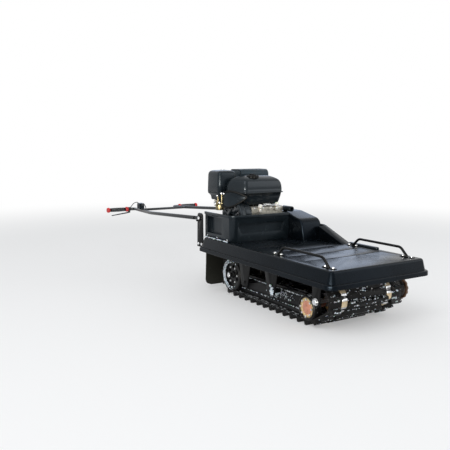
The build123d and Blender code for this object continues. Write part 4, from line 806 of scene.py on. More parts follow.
def pale_floor(colour):
    """Plain pale floor: it keeps the object's shadow, and turns to the white of the world further out.

    The share of white grows from near_white to 1 between two distances from the origin, for what the
    camera and gloss see."""
    near_m, far_m, near_white = 2.4, 6.0, 0.3
    material, tree, shader, place = new_material("pale_floor")
    feed(tree, shader, {"Base Color": colour, "Roughness": 0.9, "Specular IOR Level": 0.0})
    away = add(tree, "VectorMath", {"operation": "LENGTH", 0: place}, "Value")
    far = add(tree, "MapRange", {"interpolation_type": "SMOOTHSTEP", "Value": away, "From Min": near_m,
                                 "From Max": far_m, "To Min": near_white})
    white = add(tree, "Emission", {"Color": "#ffffff", "Strength": 1.0})
    share = add(tree, "Math", {"operation": "MULTIPLY", 0: far, 1: seen_rays(tree)})
    both = add(tree, "MixShader", {0: share, 1: shader.outputs[0], 2: white})
    output = next(node for node in tree.nodes if node.type == "OUTPUT_MATERIAL")
    feed(tree, output, {"Surface": both})
    return material


def set_world(scene, colour):
    """A plain pale world, white to the camera and in gloss, and a soft even light for the object."""
    world = bpy.data.worlds.new("pale_world")
    scene.world = world
    world.use_nodes = True
    tree = world.node_tree
    tree.nodes.clear()
    shown = add(tree, "Background", {"Color": "#ffffff", "Strength": 1.0})
    light = add(tree, "Background", {"Color": colour, "Strength": 0.72})
    both = add(tree, "MixShader", {0: seen_rays(tree), 1: light, 2: shown})
    add(tree, "OutputWorld", {"Surface": both})


def lamp(name, place, target, size, watts, colour="#ffffff", lights=True):
    """A rectangular area lamp that the camera doesn't see. With lights off it only shows in reflections."""
    light = bpy.data.lights.new(name, "AREA")
    light.shape = "RECTANGLE"
    light.size, light.size_y = size
    light.energy = watts
    light.color = linear(colour)[:3]
    holder = bpy.data.objects.new(name, light)
    bpy.context.scene.collection.objects.link(holder)
    holder.location = place
    holder.rotation_euler = (Vector(target) - Vector(place)).to_track_quat("-Z", "Y").to_euler()
    holder.visible_camera = False
    holder.visible_diffuse = lights


class TUG_OT_stage(Operator):
    """Sets the pale floor, the soft lamps, the world and the camera"""
    bl_idname = "tug.stage"
    bl_label = "Set the stage"

    def execute(self, context):
        settings = context.scene.tug
        half = 60.0
        mesh = bpy.data.meshes.new("floor")
        mesh.from_pydata([(-half, -half, 0), (half, -half, 0), (half, half, 0), (-half, half, 0)], [],
                         [(0, 1, 2, 3)])
        floor = bpy.data.objects.new("floor", mesh)
        context.scene.collection.objects.link(floor)
        floor.data.materials.append(pale_floor(settings.floor_colour))
        set_world(context.scene, settings.floor_colour)
        # Name, place, target, size, share of the key lamp's power, colour, whether it lights or only reflects
        lamps = (
            ("key_lamp", (2.6, -3.4, 4.2), (0.2, 0.0, 0.3), (3.2, 3.2), 1.0, "#ffffff", True),
            ("fill_lamp", (3.6, 3.0, 2.6), (0.0, 0.0, 0.3), (3.0, 3.0), 0.45, "#ffffff", True),
            ("sky_lamp", (-4.8, 3.0, 2.2), (0.6, 0.0, 0.3), (5.0, 3.0), 0.42, "#8fb9f0", False),
            ("edge_lamp", (3.2, -3.4, 0.48), (0.7, -0.2, 0.3), (2.4, 0.9), 3.4, "#fff8ec", False),
        )
        for name, place, target, size, share, colour, lights in lamps:
            lamp(name, place, target, size, settings.sun_watts * share, colour, lights)
        camera = bpy.data.objects.new("camera", bpy.data.cameras.new("camera"))
        context.scene.collection.objects.link(camera)
        azimuth, pitch, roll = radians(58.3), radians(7.8), radians(0.14)
        camera.location = (3.291, -2.119, 0.915)
        turn = Matrix.Rotation(azimuth, 4, "Z") @ Matrix.Rotation(pi / 2 - pitch, 4, "X")
        camera.rotation_euler = (turn @ Matrix.Rotation(roll, 4, "Z")).to_euler()
        camera.data.lens = settings.lens_mm
        camera.data.sensor_width = 36.0
        camera.data.clip_end = half
        context.scene.camera = camera
        context.scene.view_settings.view_transform = "Standard"
        return {"FINISHED"}


# Rigid pieces that keep their form

# Node, rounding as a share of the usual edge radius
DRESSED = (
    ("hood_tray", 1.2), ("engine_box", 1.2), ("drive_cover", 0.8), ("side_ramp", 1.2), ("deck_pad", 0.5),
    ("frame_rail_left", 1.0), ("frame_rail_right", 1.0), ("frame_cross_tubes", 1.0), ("engine_platform", 0.6),
    ("axle_brackets", 0.6), ("hanger_plates", 0.6), ("rear_upright_left", 0.6), ("rear_upright_right", 0.6),
    ("hitch_clevis", 0.6), ("suspension_beam_left", 1.0), ("suspension_beam_right", 1.0),
    ("slide_shoes", 1.0), ("engine_block", 0.6), ("fan_shroud", 0.5), ("recoil_starter", 0.4),
    ("carburettor", 0.8), ("muffler", 0.5), ("muffler_guard", 0.3),
    ("control_box", 0.8), ("brake_lever", 0.6), ("drive_axle", 0.5), ("front_hubs", 0.4),
    ("rear_hubs", 0.4), ("front_tyres", 1.6), ("rear_tyres", 1.6), ("track_belt", 1.4),
    ("pivot_bolts", 0.5), ("deck_rail_left", 0.3), ("deck_rail_right", 0.3), ("rail_nuts", 0.4),
    ("handlebar_tube_left", 0.4), ("handlebar_tube_right", 0.4), ("handlebar_cross_bar", 0.4),
    ("brake_cable", 0.1), ("throttle_cable", 0.1), ("duct_tube", 0.6), ("drive_chain", 0.2),
    ("jackshaft", 0.4), ("suspension_tubes", 0.4),
)


class TUG_OT_dress(Operator):
    """Rounds the edges of the rigid pieces and gives each its finish"""
    bl_idname = "tug.dress"
    bl_label = "Dress rigid pieces"

    def execute(self, context):
        edge = context.scene.tug.edge_mm
        for node, share in DRESSED:
            dressed_copy(node, edge * share)
        return {"FINISHED"}


# Belt clips

def ribbon(path, thickness, low_y, high_y, centre):
    """A strip of plate that follows the belt: a path of (length, height) offsets, thickened and spread on Y.

    Each point lies at the loop's place for its length, moved out along the loop's normal by its height."""
    path = np.asarray(path, float)
    loop = np.vstack([path, (path + (0, thickness))[::-1]])
    x, z, angle = on_loop(TRACK_LOOP, centre + loop[:, 0])
    return skin(np.array([np.stack([x + loop[:, 1] * np.cos(angle), np.full_like(x, y),
                                    z + loop[:, 1] * np.sin(angle)], -1) for y in (low_y, high_y)]))


class TUG_OT_clips(Operator):
    """Makes the belt's folded steel clips: a tan plate on each web, and ends bent into the windows in bright
    zinc, a painted highlight for the light on their bends
    """
    bl_idname = "tug.clips"
    bl_label = "Belt clips"

    def execute(self, context):
        web_half = (LUG_PITCH - WINDOW_LENGTH) / 2
        half_width, plate, proud = 18.0, 2.4, 0.6
        end_length, end_rise, end_drop = 11.5, 0.9, 2.6
        plate_inset, end_overlap, end_inset = 1.5, 0.8, 1
        top = BELT_THICKNESS + proud
        flat = [(share * (web_half - plate_inset), top) for share in np.linspace(-1, 1, 5)]
        # Each end's height falls with the square of its length, so that it folds over the window's edge
        bent = [(web_half - end_overlap + end_length * share, top + end_rise - end_drop * share ** 2)
                for share in np.linspace(0, 1, 5)]
        plates, ends = [], []
        for column in (-WINDOW_Y, WINDOW_Y):
            low, high = column - half_width, column + half_width
            for k in range(LUG_COUNT):
                centre = k * LUG_PITCH
                plates.append(ribbon(flat, plate, low, high, centre))
                for side in (-1, 1):
                    turned_out = np.array(bent) * (side, 1)
                    ends.append(ribbon(turned_out, plate, low + end_inset, high - end_inset, centre))
        piece_of("clip_plates", plates, "clip_steel", "machine", ("track_clips",), edge_mm=0.5)
        # The ends take bright zinc, unlike the tan plates of the same clip, as a painted highlight on their
        # bends.
        piece_of("clip_ends_painted_highlight", ends, "bright_steel", "machine", edge_mm=0.5)
        return {"FINISHED"}


# Bolts and small engine parts

class TUG_OT_fasteners(Operator):
    """Makes the hexagon bolts and nuts of hubs, axles, box and uprights"""
    bl_idname = "tug.fasteners"
    bl_label = "Bolts and nuts"

    def execute(self, context):
        bolt, small_bolt, hub_bolt = hex_head(13, 6), hex_head(8, 4), hex_head(11, 6.5)
        hub_nut, axle_nut, hub_nut_out = hex_head(27, 12), hex_head(30, 12), 12
        washer = turned([(0.05, 0), (9.5, 0), (9.5, 1.6), (0.05, 1.6)], 20)
        axle_washer = turned([(0.05, 0), (19, 0), (19, 2.2), (0.05, 2.2)], 28)
        shapes = []
        # Corners of the wheels' box, radius of the bolt ring, bolts in it, place out from the tyres, a nut
        wheels = ((FRONT_LOW, FRONT_HIGH, 43.0, 8, 9.5, False), (REAR_LOW, REAR_HIGH, 49.0, 6, -12.5, True))
        for low, high, ring, count, shelf, has_nut in wheels:
            x, z, _ = wheel_circle(low, high)
            angle = 2 * pi * np.arange(count) / count
            for side in (-1, 1):
                y = np.full(count, side * (FRONT_HIGH[1] + shelf))
                places = np.stack([x + ring * np.cos(angle), y, z + ring * np.sin(angle)], -1)
                shapes.append(copies(*hub_bolt, places, np.repeat(frame_of([[0, side, 0]]), count, 0)))
                if has_nut:
                    place = (x, side * (FRONT_HIGH[1] + hub_nut_out), z)
                    shapes.append(placed(hub_nut, place, (0, side, 0), 0.3))
        low, high = box_mm("drive_axle")
        axle_end, nut_in = 1.0, 10
        for side, tip in ((-1, low[1] - axle_end), (1, high[1] - axle_end)):
            for form in (axle_washer, axle_nut):
                place = (NOSE_X - DRIVE_BACK, tip - side * nut_in, DRIVE_Z)
                shapes.append(placed(form, place, (0, side, 0), 0.2))

        # A row along the foot of the engine box, and two on the foot of each upright
        low, high = box_mm("engine_box")
        wall_in, foot_up, rear_in, middle_in, front_in = 6.2, 12, 30, 150, 60
        for x in (low[0] + rear_in, low[0] + middle_in, high[0] - front_in):
            shapes.append(placed(small_bolt, (x, low[1] + wall_in, low[2] + foot_up), (0, -1, 0)))
        upright_bolt_z, upright_thick, half_pitch = 281, 6, 20
        for side, name in ((-1, "right"), (1, "left")):
            rail_low, rail_high = box_mm("frame_rail_" + name)
            upright_low, upright_high = box_mm("rear_upright_" + name)
            out = (rail_low[1] if side < 0 else rail_high[1]) + side * upright_thick
            middle = (upright_low[0] + upright_high[0]) / 2
            for x in (middle - half_pitch, middle + half_pitch):
                for form in (washer, bolt):
                    shapes.append(placed(form, (x, out, upright_bolt_z), (0, side, 0), x))
        piece_of("bright_fasteners", shapes, "bright_steel", "machine", edge_mm=0.4)
        return {"FINISHED"}


class TUG_OT_engine(Operator):
    """Makes the small engine parts: wing nut, governor arm and spring, levers, screws and fuel hose"""
    bl_idname = "tug.engine"
    bl_label = "Engine details"

    def execute(self, context):
        case_low, _ = box_mm("engine_block")
        filter_low, filter_high = box_mm("air_filter")
        carb_low, carb_high = box_mm("carburettor")
        cap_low, _ = box_mm("oil_caps")
        tank_low, _ = box_mm("fuel_tank")
        bright = []
        # Wing nut on the filter: a boss and two flat ears
        x, y, _ = (filter_low + filter_high) / 2
        sunk, ear_out, ear_up = 4, 11, 5
        z = filter_high[2] - sunk
        boss = turned([(0.05, 0), (7, 0), (6, 7), (0.05, 8)], 16)
        ear = turned([(0.05, -1.4), (8, -1.4), (9, 0), (8, 1.4), (0.05, 1.4)], 16)
        bright.append(upright(boss, [(x, y, z)]))
        bright.extend([placed(ear, (x, y + side * ear_out, z + ear_up), (1, 0, 0)) for side in (-1, 1)])

        # Governor arm and spring over the front of the crankcase. The spring is a helix of nine turns along Y
        front_x, rim_z = cap_low[0] + 6, cap_low[2] + 10
        arm = [(front_x + 6, cap_low[1] + 26, rim_z + 18), (front_x + 8, 10, rim_z + 20),
               (front_x + 4, 52, rim_z + 12)]
        bright.append(tube_along(arm, 2.6))
        turns, coil_radius, coil_start, coil_pitch = 9, 4.5, -28, 0.95
        angle = np.linspace(0, 2 * pi * turns, 90)
        coil = np.stack([front_x + 10 + coil_radius * np.cos(angle), coil_start + angle * coil_pitch,
                         rim_z + 26 + coil_radius * np.sin(angle)], -1)
        bright.append(tube_along(coil[::2], 0.9, 6))
        bolt, bolt_x = hex_head(10, 6), front_x + 5.5
        for row_z, row in ((rim_z + 4, (-96, -30, 30, 96)), (case_low[2] + 26, (-90, 0, 90))):
            for y in row:
                bright.append(placed(bolt, (bolt_x, y, row_z), (1, 0, 0), y))

        # Throttle plate, two levers and the screws on the carburettor
        cx, cz, mouth = (carb_low[0] + carb_high[0]) / 2, carb_high[2] - 21, carb_low[1]
        plate = turned([(0.05, 0), (15, 0), (15, 2), (0.05, 2)], 20)
        bright.append(placed(plate, (cx, mouth - 2.2, cz), (0, -1, 0)))
        throttle = [(cx, mouth - 6, cz + 2), (cx + 16, mouth - 9, cz + 14), (cx + 34, mouth - 9, cz + 17)]
        choke = [(cx + 6, mouth + 26, cz + 22), (cx + 26, mouth + 18, cz + 26), (cx + 44, mouth + 8, cz + 10)]
        bright.extend([tube_along(throttle, 2.4), tube_along(choke, 2.0)])
        screws = ((cx + 18, mouth + 8, cz + 8), (cx + 19, mouth + 30, cz - 6), (cx - 10, mouth - 2, cz - 10))
        bright.extend([placed(hex_head(7, 8), place, (1, -0.4, 0.1)) for place in screws])
        piece_of("engine_bright_parts", bright, "bright_steel", "machine", edge_mm=0.3)

        # Fuel hose from the tank's foot to the carburettor
        hose = [(tank_low[0] + 30, tank_low[1] + 20, tank_low[2] + 24),
                (tank_low[0] - 2, tank_low[1] + 6, tank_low[2] + 18),
                (cx + 30, mouth + 60, cz + 6), (cx + 12, mouth + 56, cz)]
        piece_of("fuel_hose", [tube_along(hose, 3.6)], "cable_sleeve", "machine")
        return {"FINISHED"}


# Rolled lip of the hood

def lip_surface(low, high):
    """The rolled lip: one closed section carried along the foot of the walls, from right rear to left rear.

    The path is a straight run, two quarter circles round the nose's corners and a straight run back. Each
    point is the path's place, moved inward by the section's first number and up by its second, in mm."""
    radius, depth, rear_gap, run_gap, run_steps = 48.0, 25.0, 30, 4, 24
    section = np.array([(0.8, 0.4), (0.1, 3), (0.4, depth - 6), (1.6, depth - 2), (4.5, depth),
                        (16.5, depth + 0.6), (17.5, depth - 2), (10.5, 1.2), (9.0, 0.4)])
    angle = np.linspace(-pi / 2, 0, 14)
    right = np.stack([high[0] - radius + radius * np.cos(angle),
                      low[1] + radius + radius * np.sin(angle)], -1)
    left = (right * (1, -1))[::-1]
    run = np.linspace(low[0] + rear_gap, high[0] - radius - run_gap, run_steps)
    path = np.vstack([np.stack([run, np.full(run_steps, low[1])], -1), right, left,
                      np.stack([run[::-1], np.full(run_steps, high[1])], -1)])
    ahead = np.gradient(path, axis=0)
    inward = np.stack([-ahead[:, 1], ahead[:, 0]], -1) / np.linalg.norm(ahead, axis=1)[:, None]
    height = np.broadcast_to(low[2] + section[None, :, 1:], (len(path), len(section), 1))
    return skin(np.concatenate([path[:, None, :] + inward[:, None, :] * section[None, :, :1], height], -1))


class TUG_OT_lip(Operator):
    """Makes the deep rolled lip round the foot of the hood's walls, open at its rear"""
    bl_idname = "tug.lip"
    bl_label = "Rolled lip"

    def execute(self, context):
        lip = lip_surface(*box_mm("hood_tray"))
        piece_of("hood_rolled_lip", [lip], "hood_plastic", "machine", edge_mm=0.8)
        return {"FINISHED"}


# Snow flap, tyre lips and hub discs

def flap_surface(low, high):
    """The hanging flap: a sheet over its height and width, with two round lower corners.

    Its half width follows a quarter circle near the foot. Each point moves along X by a sine of its place
    across, which grows downwards, and backwards by the cube of its share across times its hang squared."""
    extra_width, corner, thick = 33, 42.0, 6.0
    wave, wave_length, curl, rows, columns = 5, 70, 14, 26, 60
    v = np.linspace(0, 1, rows)[:, None]
    z = low[2] + (high[2] - low[2]) * v
    rise = np.clip((corner - (z - low[2])) / corner, 0, 1)
    half = high[1] + extra_width - corner * (1 - np.sqrt(1 - rise ** 2))
    across = np.linspace(-1, 1, columns)[None, :]
    y = half * across
    hang = 1 - v
    middle = (low[0] + high[0]) / 2 - thick / 2
    x = middle + wave * hang * np.sin(y / wave_length) - curl * hang ** 2 * np.abs(across) ** 3
    front, back = np.stack([x + thick, y, z + 0 * y], -1), np.stack([x, y, z + 0 * y], -1)
    return skin(np.concatenate([back, front[:, ::-1]], 1))


def tyre_lip(side):
    """The outer lip of a front tyre: a closed section of (radius, distance out) turned about the axle."""
    axle_x, axle_z, reach = wheel_circle(FRONT_LOW, FRONT_HIGH)
    section = np.array([(reach - 12, -6), (reach - 2, -6), (reach - 0.5, 0), (reach - 1, 6), (reach - 4, 12),
                        (reach - 9, 15.5), (reach - 13, 14), (reach - 14.5, 8)])
    steps = 96
    angle = np.linspace(0, 2 * pi, steps, endpoint=False)
    radius, out = section[:, :1], section[:, 1:]
    points = np.stack([axle_x + radius * np.cos(angle), side * (FRONT_HIGH[1] + out + 0 * angle),
                       axle_z + radius * np.sin(angle)], -1)
    return points.reshape(-1, 3), grid_quads(len(section), steps, True, True).tolist()


class TUG_OT_rubber(Operator):
    """Makes the hanging snow flap, the outer lips of the front tyres and their hubs' discs"""
    bl_idname = "tug.rubber"
    bl_label = "Snow flap and front wheels"

    def execute(self, context):
        flap = flap_surface(*box_mm("snow_flap"))
        piece_of("hanging_flap", [flap], "flap_rubber", "machine", ("snow_flap",), edge_mm=1.0)
        piece_of("tyre_lips", [tyre_lip(side) for side in (-1, 1)], "wheel_rubber", "machine")
        axle_x, axle_z, _ = wheel_circle(FRONT_LOW, FRONT_HIGH)
        # A disc turned about the axle: a flat rim, a groove and a domed middle
        dish = turned([(0.05, -16), (52.5, -16), (52.5, 6), (51, 8), (40, 8.5), (37, 6), (35, 5.5), (31, 8),
                       (20, 12), (10, 13.5), (0.05, 14)], 72)
        discs = [placed(dish, (axle_x, side * FRONT_HIGH[1], axle_z), (0, side, 0)) for side in (-1, 1)]
        piece_of("hub_discs", discs, "hub_steel", "machine")
        return {"FINISHED"}


# Tank, filter, caps and the panel between them

def shell_over(outline, centre, wall, bottom, top, drop=0.0, drop_from=0.0, half_width=1.0):
    """A closed shell over a plan: one ring for each (share of height, inset in mm) of its wall.

    Each ring is the outline drawn in towards the centre by its inset, at its share of the height. Above the
    share drop_from it sinks by the square of its place along Y, by drop in all at the ends of the top."""
    rings = []
    for share, inset in wall:
        ring = inset_outline(outline, centre, inset)
        across = (ring[:, 1] - centre[1]) / half_width
        sunk = drop * across ** 2 * max(0.0, share - drop_from) / (1 - drop_from)
        rings.append(np.column_stack([ring, bottom + share * (top - bottom) - sunk]))
    return skin(np.array(rings))


def tank_shell(low, high):
    """The fuel tank: a shell over a plan with round corners whose right end is cut on the slant.

    Its wall has a belly below, a narrow flange at the seam and a crown that drops towards both ends."""
    seam_reach, slant_out, slant_run, foot_up, crown_up = 6.0, 40, 104, 6, 4
    front, rear, left = high[0] - seam_reach, low[0] + seam_reach, high[1] - seam_reach
    slant_y, slant_x = low[1] - slant_out, front - slant_run
    plan = [(front, low[1] + 26, 30), (slant_x, slant_y, 34), (rear, slant_y, 20), (rear, left, 36),
            (front, left, 15)]
    wall = [(0.0, 70), (0.0, 34), (0.012, 27), (0.04, 21), (0.12, 15), (0.28, 7), (0.412, 3), (0.415, -5),
            (0.43, -6), (0.445, -5), (0.448, 1), (0.56, 1), (0.68, 3), (0.76, 6), (0.83, 11), (0.88, 17),
            (0.92, 27), (0.955, 40), (0.98, 54), (0.994, 63), (1.0, 68)]
    centre = np.array([(front + rear) / 2, (slant_y + left) / 2])
    return shell_over(rounded_outline(plan, 10), centre, wall, low[2] + foot_up, high[2] + crown_up,
                      drop=10, drop_from=0.45, half_width=(left - slant_y) / 2)


def filter_shell(low, high):
    """The filter's box: a shell over a plan with round corners, with a crown over a narrower skirt."""
    reach, rear_radius, front_radius, left_radius = 4.0, 16, 22, 26
    plan = [(low[0] - reach, low[1] - reach, rear_radius), (high[0] + reach, low[1] - reach, front_radius),
            (high[0] + reach, high[1], left_radius), (low[0] - reach, high[1], left_radius)]
    wall = [(0.0, 60), (0.0, 20), (0.02, 17), (0.13, 14), (0.20, 4), (0.22, 0), (0.245, -1.5), (0.25, 1),
            (0.255, 1), (0.26, -1.5), (0.55, -0.5), (0.84, 1), (0.90, 3), (0.94, 7), (0.965, 13), (0.985, 22),
            (0.995, 36), (1.0, 60)]
    centre = np.array([(low[0] + high[0]) / 2, (low[1] + high[1] - reach) / 2])
    return shell_over(rounded_outline(plan, 9), centre, wall, low[2], high[2] + reach)


# Points across the face of the leaf
LEAF_FACE = 15


def leaf_rings(low, high):
    """Rings of the moulded leaf beside the carburettor, bent round from the recoil starter to the tank.

    Its spine is a quadratic curve through three points of the plan, and climbs evenly. Its half height is a
    power of a sine of a power of the place along the spine, so that it is blunt behind and pointed in front.
    Across, its face is hollowed by a parabola, and its back is flat."""
    ends = np.array([(low[0] + 58, low[1] - 33), (low[0] + 163, low[1] - 35), (low[0] + 223, low[1] + 43)])
    half_height, hollow, thick, climb, below_top = 50.0, 8, 38.0, 26, 16
    bluntness, fullness, steps, side = 0.6, 0.72, 44, LEAF_FACE
    u = np.linspace(0.004, 0.996, steps)
    spine = np.stack([(1 - u) ** 2, 2 * u * (1 - u), u ** 2], -1) @ ends
    ahead = np.gradient(spine, axis=0)
    outward = np.stack([ahead[:, 1], -ahead[:, 0]], -1) / np.linalg.norm(ahead, axis=1)[:, None]
    middle_z = high[2] - below_top + climb * u
    half = half_height * np.sin(pi * u ** bluntness) ** fullness
    across = np.concatenate([np.linspace(-1, 1, side), np.linspace(1, -1, side)])
    on_face = np.arange(2 * side) < side
    depth = np.where(on_face, -hollow * (1 - across ** 2), -thick)
    shift = depth[None, :] * np.where(on_face, np.sin(pi * u)[:, None], 1.0)
    height = middle_z[:, None] + half[:, None] * across[None, :]
    return np.concatenate([spine[:, None, :] + outward[:, None, :] * shift[..., None], height[..., None]], -1)


def lobed_cap(place):
    """The fuel cap: a wide turned form with eight lobes, and a bar across it to grip.

    Each radius grows by a share of the flattened cosine of eight times its angle."""
    lobes, lobe_share, flatness = 8, 0.045, 0.4
    verts, faces = turned([(0.05, -14), (36, -14), (39, -10), (40, -4), (40, 6), (38, 10), (33, 12), (30, 9),
                           (24, 8), (0.05, 8)], 64)
    wave = np.cos(lobes * np.arctan2(verts[:, 1], verts[:, 0]))
    stretch = 1 + lobe_share * np.sign(wave) * np.abs(wave) ** flatness
    verts = verts * np.column_stack([stretch, stretch, np.ones(len(verts))])
    bar = np.array([(-27, 0, 10), (-12, 0, 14), (12, 0, 14), (27, 0, 10)]) + place
    return [upright((verts, faces), [place]), tube_along(bar, 6.0, 10)]


class TUG_OT_tank(Operator):
    """Makes the fuel tank, filter box, caps, and the leaf panel with its rim and choke links"""
    bl_idname = "tug.tank"
    bl_label = "Tank, filter and caps"

    def execute(self, context):
        tank = tank_shell(*box_mm("fuel_tank"))
        piece_of("fuel_tank_shell", [tank], "tank_paint", "machine", ("fuel_tank",))
        recoil_low, recoil_high = box_mm("recoil_starter")
        leaf = leaf_rings(recoil_low, recoil_high)
        piece_of("side_panel", [skin(leaf)], "filter_plastic", "machine")
        # The rim follows the lower edge of the leaf's face to its point, and the upper edge back
        lower, upper = leaf[:, 0], leaf[::-1, LEAF_FACE - 1]
        rim = tube_along(np.vstack([lower[2:], upper[1:-2]]), 6.2, 10)
        piece_of("side_panel_rim", [rim], "cap_black", "machine")

        # Choke links between the filter and the leaf: two upright brass rods, a cross rod and bright pins
        link_y = recoil_low[1] - 38
        rods = ([(158, link_y, 548), (164, link_y, 572), (160, link_y, 600)],
                [(207, link_y + 2, 552), (212, link_y - 1, 584), (209, link_y, 616)],
                [(138, link_y + 12, 556), (164, link_y + 2, 559), (214, link_y + 2, 556)])
        piece_of("choke_links", [tube_along(rod, 4.6, 10) for rod in rods], "carburettor_alloy", "machine")
        pin = turned([(0.05, -7), (6, -6), (8.5, 0), (6, 6), (0.05, 7)], 20)
        pins = ((160, link_y - 2, 603), (209, link_y - 2, 620), (228, link_y + 4, 620), (184, link_y, 560))
        piece_of("choke_pins", [placed(pin, place, (0, -1, 0)) for place in pins], "bright_steel", "machine")

        housing = filter_shell(*box_mm("air_filter"))
        piece_of("filter_housing", [housing], "filter_plastic", "machine", ("air_filter",))
        low, high = box_mm("fuel_cap")
        forward, right, below_top = 16, 20, 21
        middle = (low + high) / 2
        place = np.array([middle[0] + forward, middle[1] - right, high[2] - below_top])
        piece_of("lobed_fuel_cap", lobed_cap(place), "cap_black", "machine", ("fuel_cap",))

        # Filler caps: a neck under a bulb, turned about Z
        low, high = box_mm("oil_caps")
        cap_in, cap_side, left_up = 14, 13, 8
        bulb = turned([(0.05, -14), (9, -14), (8.5, 6), (8, 9), (13.5, 13), (14.1, 20), (13.5, 28), (10, 34),
                       (5, 36.5), (0.05, 37)], 24)
        places = [(high[0] - cap_in, low[1] + cap_side, low[2]),
                  (high[0] - cap_in, high[1] - cap_side, low[2] + left_up)]
        piece_of("filler_caps", [upright(bulb, places)], "cap_ivory", "machine", ("oil_caps",))
        return {"FINISHED"}


# Grips and their collars

GRIP_LENGTH, COLLAR_LENGTH = 140.0, 24.0


def sleeve(x, z, radius, start):
    """Grip sleeves of both sides, and their chequer's relief, from 0 in the grooves to 1 on the diamonds.

    The surface runs over angle and length. Its radius is a slight barrel, half a sine wave along its length,
    plus diamonds, the product of two crossed sine waves cut flat below, left plain near the ends."""
    under, barrel, depth, plain_end, plain_fade = 1.6, 1.3, 1.1, 8, 6
    waves_round, wave_rate = 5, 0.31
    along = np.linspace(0, GRIP_LENGTH, 150)
    a, s = np.meshgrid(np.linspace(0, 2 * pi, 96, endpoint=False), along)
    waves = np.sin(a * waves_round + s * wave_rate) * np.sin(a * waves_round - s * wave_rate)
    plain = np.clip(np.minimum(s - plain_end, GRIP_LENGTH - plain_end - s) / plain_fade, 0, 1)
    r = radius - under + barrel * np.sin(pi * s / GRIP_LENGTH) + plain * depth * np.clip(waves * 1.6, -0.4, 1)
    sleeves = [skin(np.stack([x + r * np.cos(a), side * (start + s), z + r * np.sin(a)], -1))
               for side in (-1, 1)]
    return sleeves, np.tile((plain * np.clip(0.5 + waves * 0.8, 0, 1)).ravel(), 2)


def lobed_collar(x, z, radius, side, start):
    """A red collar: a turned disc whose rim carries twelve soft lobes, from a raised cosine of the angle.

    Its profile lists the share of the radius and the share of the length."""
    profile = np.array([(0.05, 0.0), (0.55, 0.0), (0.78, 0.03), (0.92, 0.14), (0.99, 0.32), (1.0, 0.5),
                        (0.98, 0.68), (0.90, 0.85), (0.76, 0.96), (0.50, 1.0), (0.05, 1.0)])
    swell, lobe_depth, lobes = 1.12, 0.035, 12
    a, k = np.meshgrid(np.linspace(0, 2 * pi, 72, endpoint=False), np.arange(len(profile)))
    share = profile[k, 0]
    r = swell * radius * share * (1 - lobe_depth * (share > 0.8) * (0.5 + 0.5 * np.cos(lobes * a)))
    y = side * (start + COLLAR_LENGTH * profile[k, 1])
    return skin(np.stack([x + r * np.cos(a), y + 0 * a, z + r * np.sin(a)], -1))


class TUG_OT_grips(Operator):
    """Makes the chequered grips and the lobed red collars"""
    bl_idname = "tug.grips"
    bl_label = "Grips"

    def execute(self, context):
        low, high = box_mm("grips")
        collar_low, collar_high = box_mm("grip_collars")
        x, z = (low[0] + high[0]) / 2, (low[2] + high[2]) / 2
        sleeves, relief = sleeve(x, z, (high[2] - low[2]) / 2, high[1] - GRIP_LENGTH)
        grips = piece_of("chequered_grips", sleeves, "grip_rubber", "handlebar", ("grips",))
        layer = grips.data.attributes.new("relief", "FLOAT", "POINT")
        layer.data.foreach_set("value", relief.astype(np.float32))
        collar_radius = (collar_high[2] - collar_low[2]) / 2
        starts = (high[1], high[1] - GRIP_LENGTH - COLLAR_LENGTH)
        collars = [lobed_collar(x, z, collar_radius, side, start) for side in (-1, 1) for start in starts]
        piece_of("grip_ends", collars, "grip_red", "handlebar", ("grip_collars",))
        return {"FINISHED"}


# Stuck snow

def patch(x, y, z, normal, sizes):
    """A patch of lumps: their places, the normals of what they stick to, and their sizes in mm."""
    places = np.stack(np.broadcast_arrays(x, y, z), -1)
    return places, np.broadcast_to(np.asarray(normal, float), places.shape), sizes


def belt_snow(rng):
    """Rows along the foot and the tip of each lug, thickest at the front, and a little in between.

    Each lump has a lug and a place across, and is kept where the sum of two sine waves is high enough."""
    count, belt_half, clip_gap = 5200, 248, 24
    foot, lug_half, tip, below_tip, proud = 14.0, 11, 7.5, 1.5, 1.0
    thick_x, front_x, high_z, floor_z = 1110, 1060, 120, 5
    thick_above, thin_above, uneven = -0.35, 0.9, 1.6
    lug = rng.integers(0, LUG_COUNT, count)
    y = rng.uniform(-belt_half, belt_half, count)
    outer_band = np.abs(y) > WINDOW_Y
    edge = rng.choice([-foot, -tip, tip, foot], count) + rng.normal(0, uneven, count)
    depth = BELT_THICKNESS + np.where(np.abs(edge) < lug_half, LUG_HEIGHT - below_tip, proud)
    x, z, angle = on_loop(TRACK_LOOP, (lug + 0.5 * outer_band) * LUG_PITCH + edge)
    x, z = x + depth * np.cos(angle), z + depth * np.sin(angle)
    clumps = np.sin(y / 23 + lug * 2.1) + np.sin(y / 9.5 + lug * 5.3)
    keep = (np.abs(np.abs(y) - WINDOW_Y) > clip_gap) & (z > floor_z) & ((x > front_x) | (z > high_z))
    keep &= clumps > np.where(x > thick_x, thick_above, thin_above)
    normal = np.stack([np.cos(angle), 0 * angle, np.sin(angle)], -1)
    return patch(x[keep], y[keep], z[keep], normal[keep], rng.lognormal(0.95, 0.4, count)[keep])


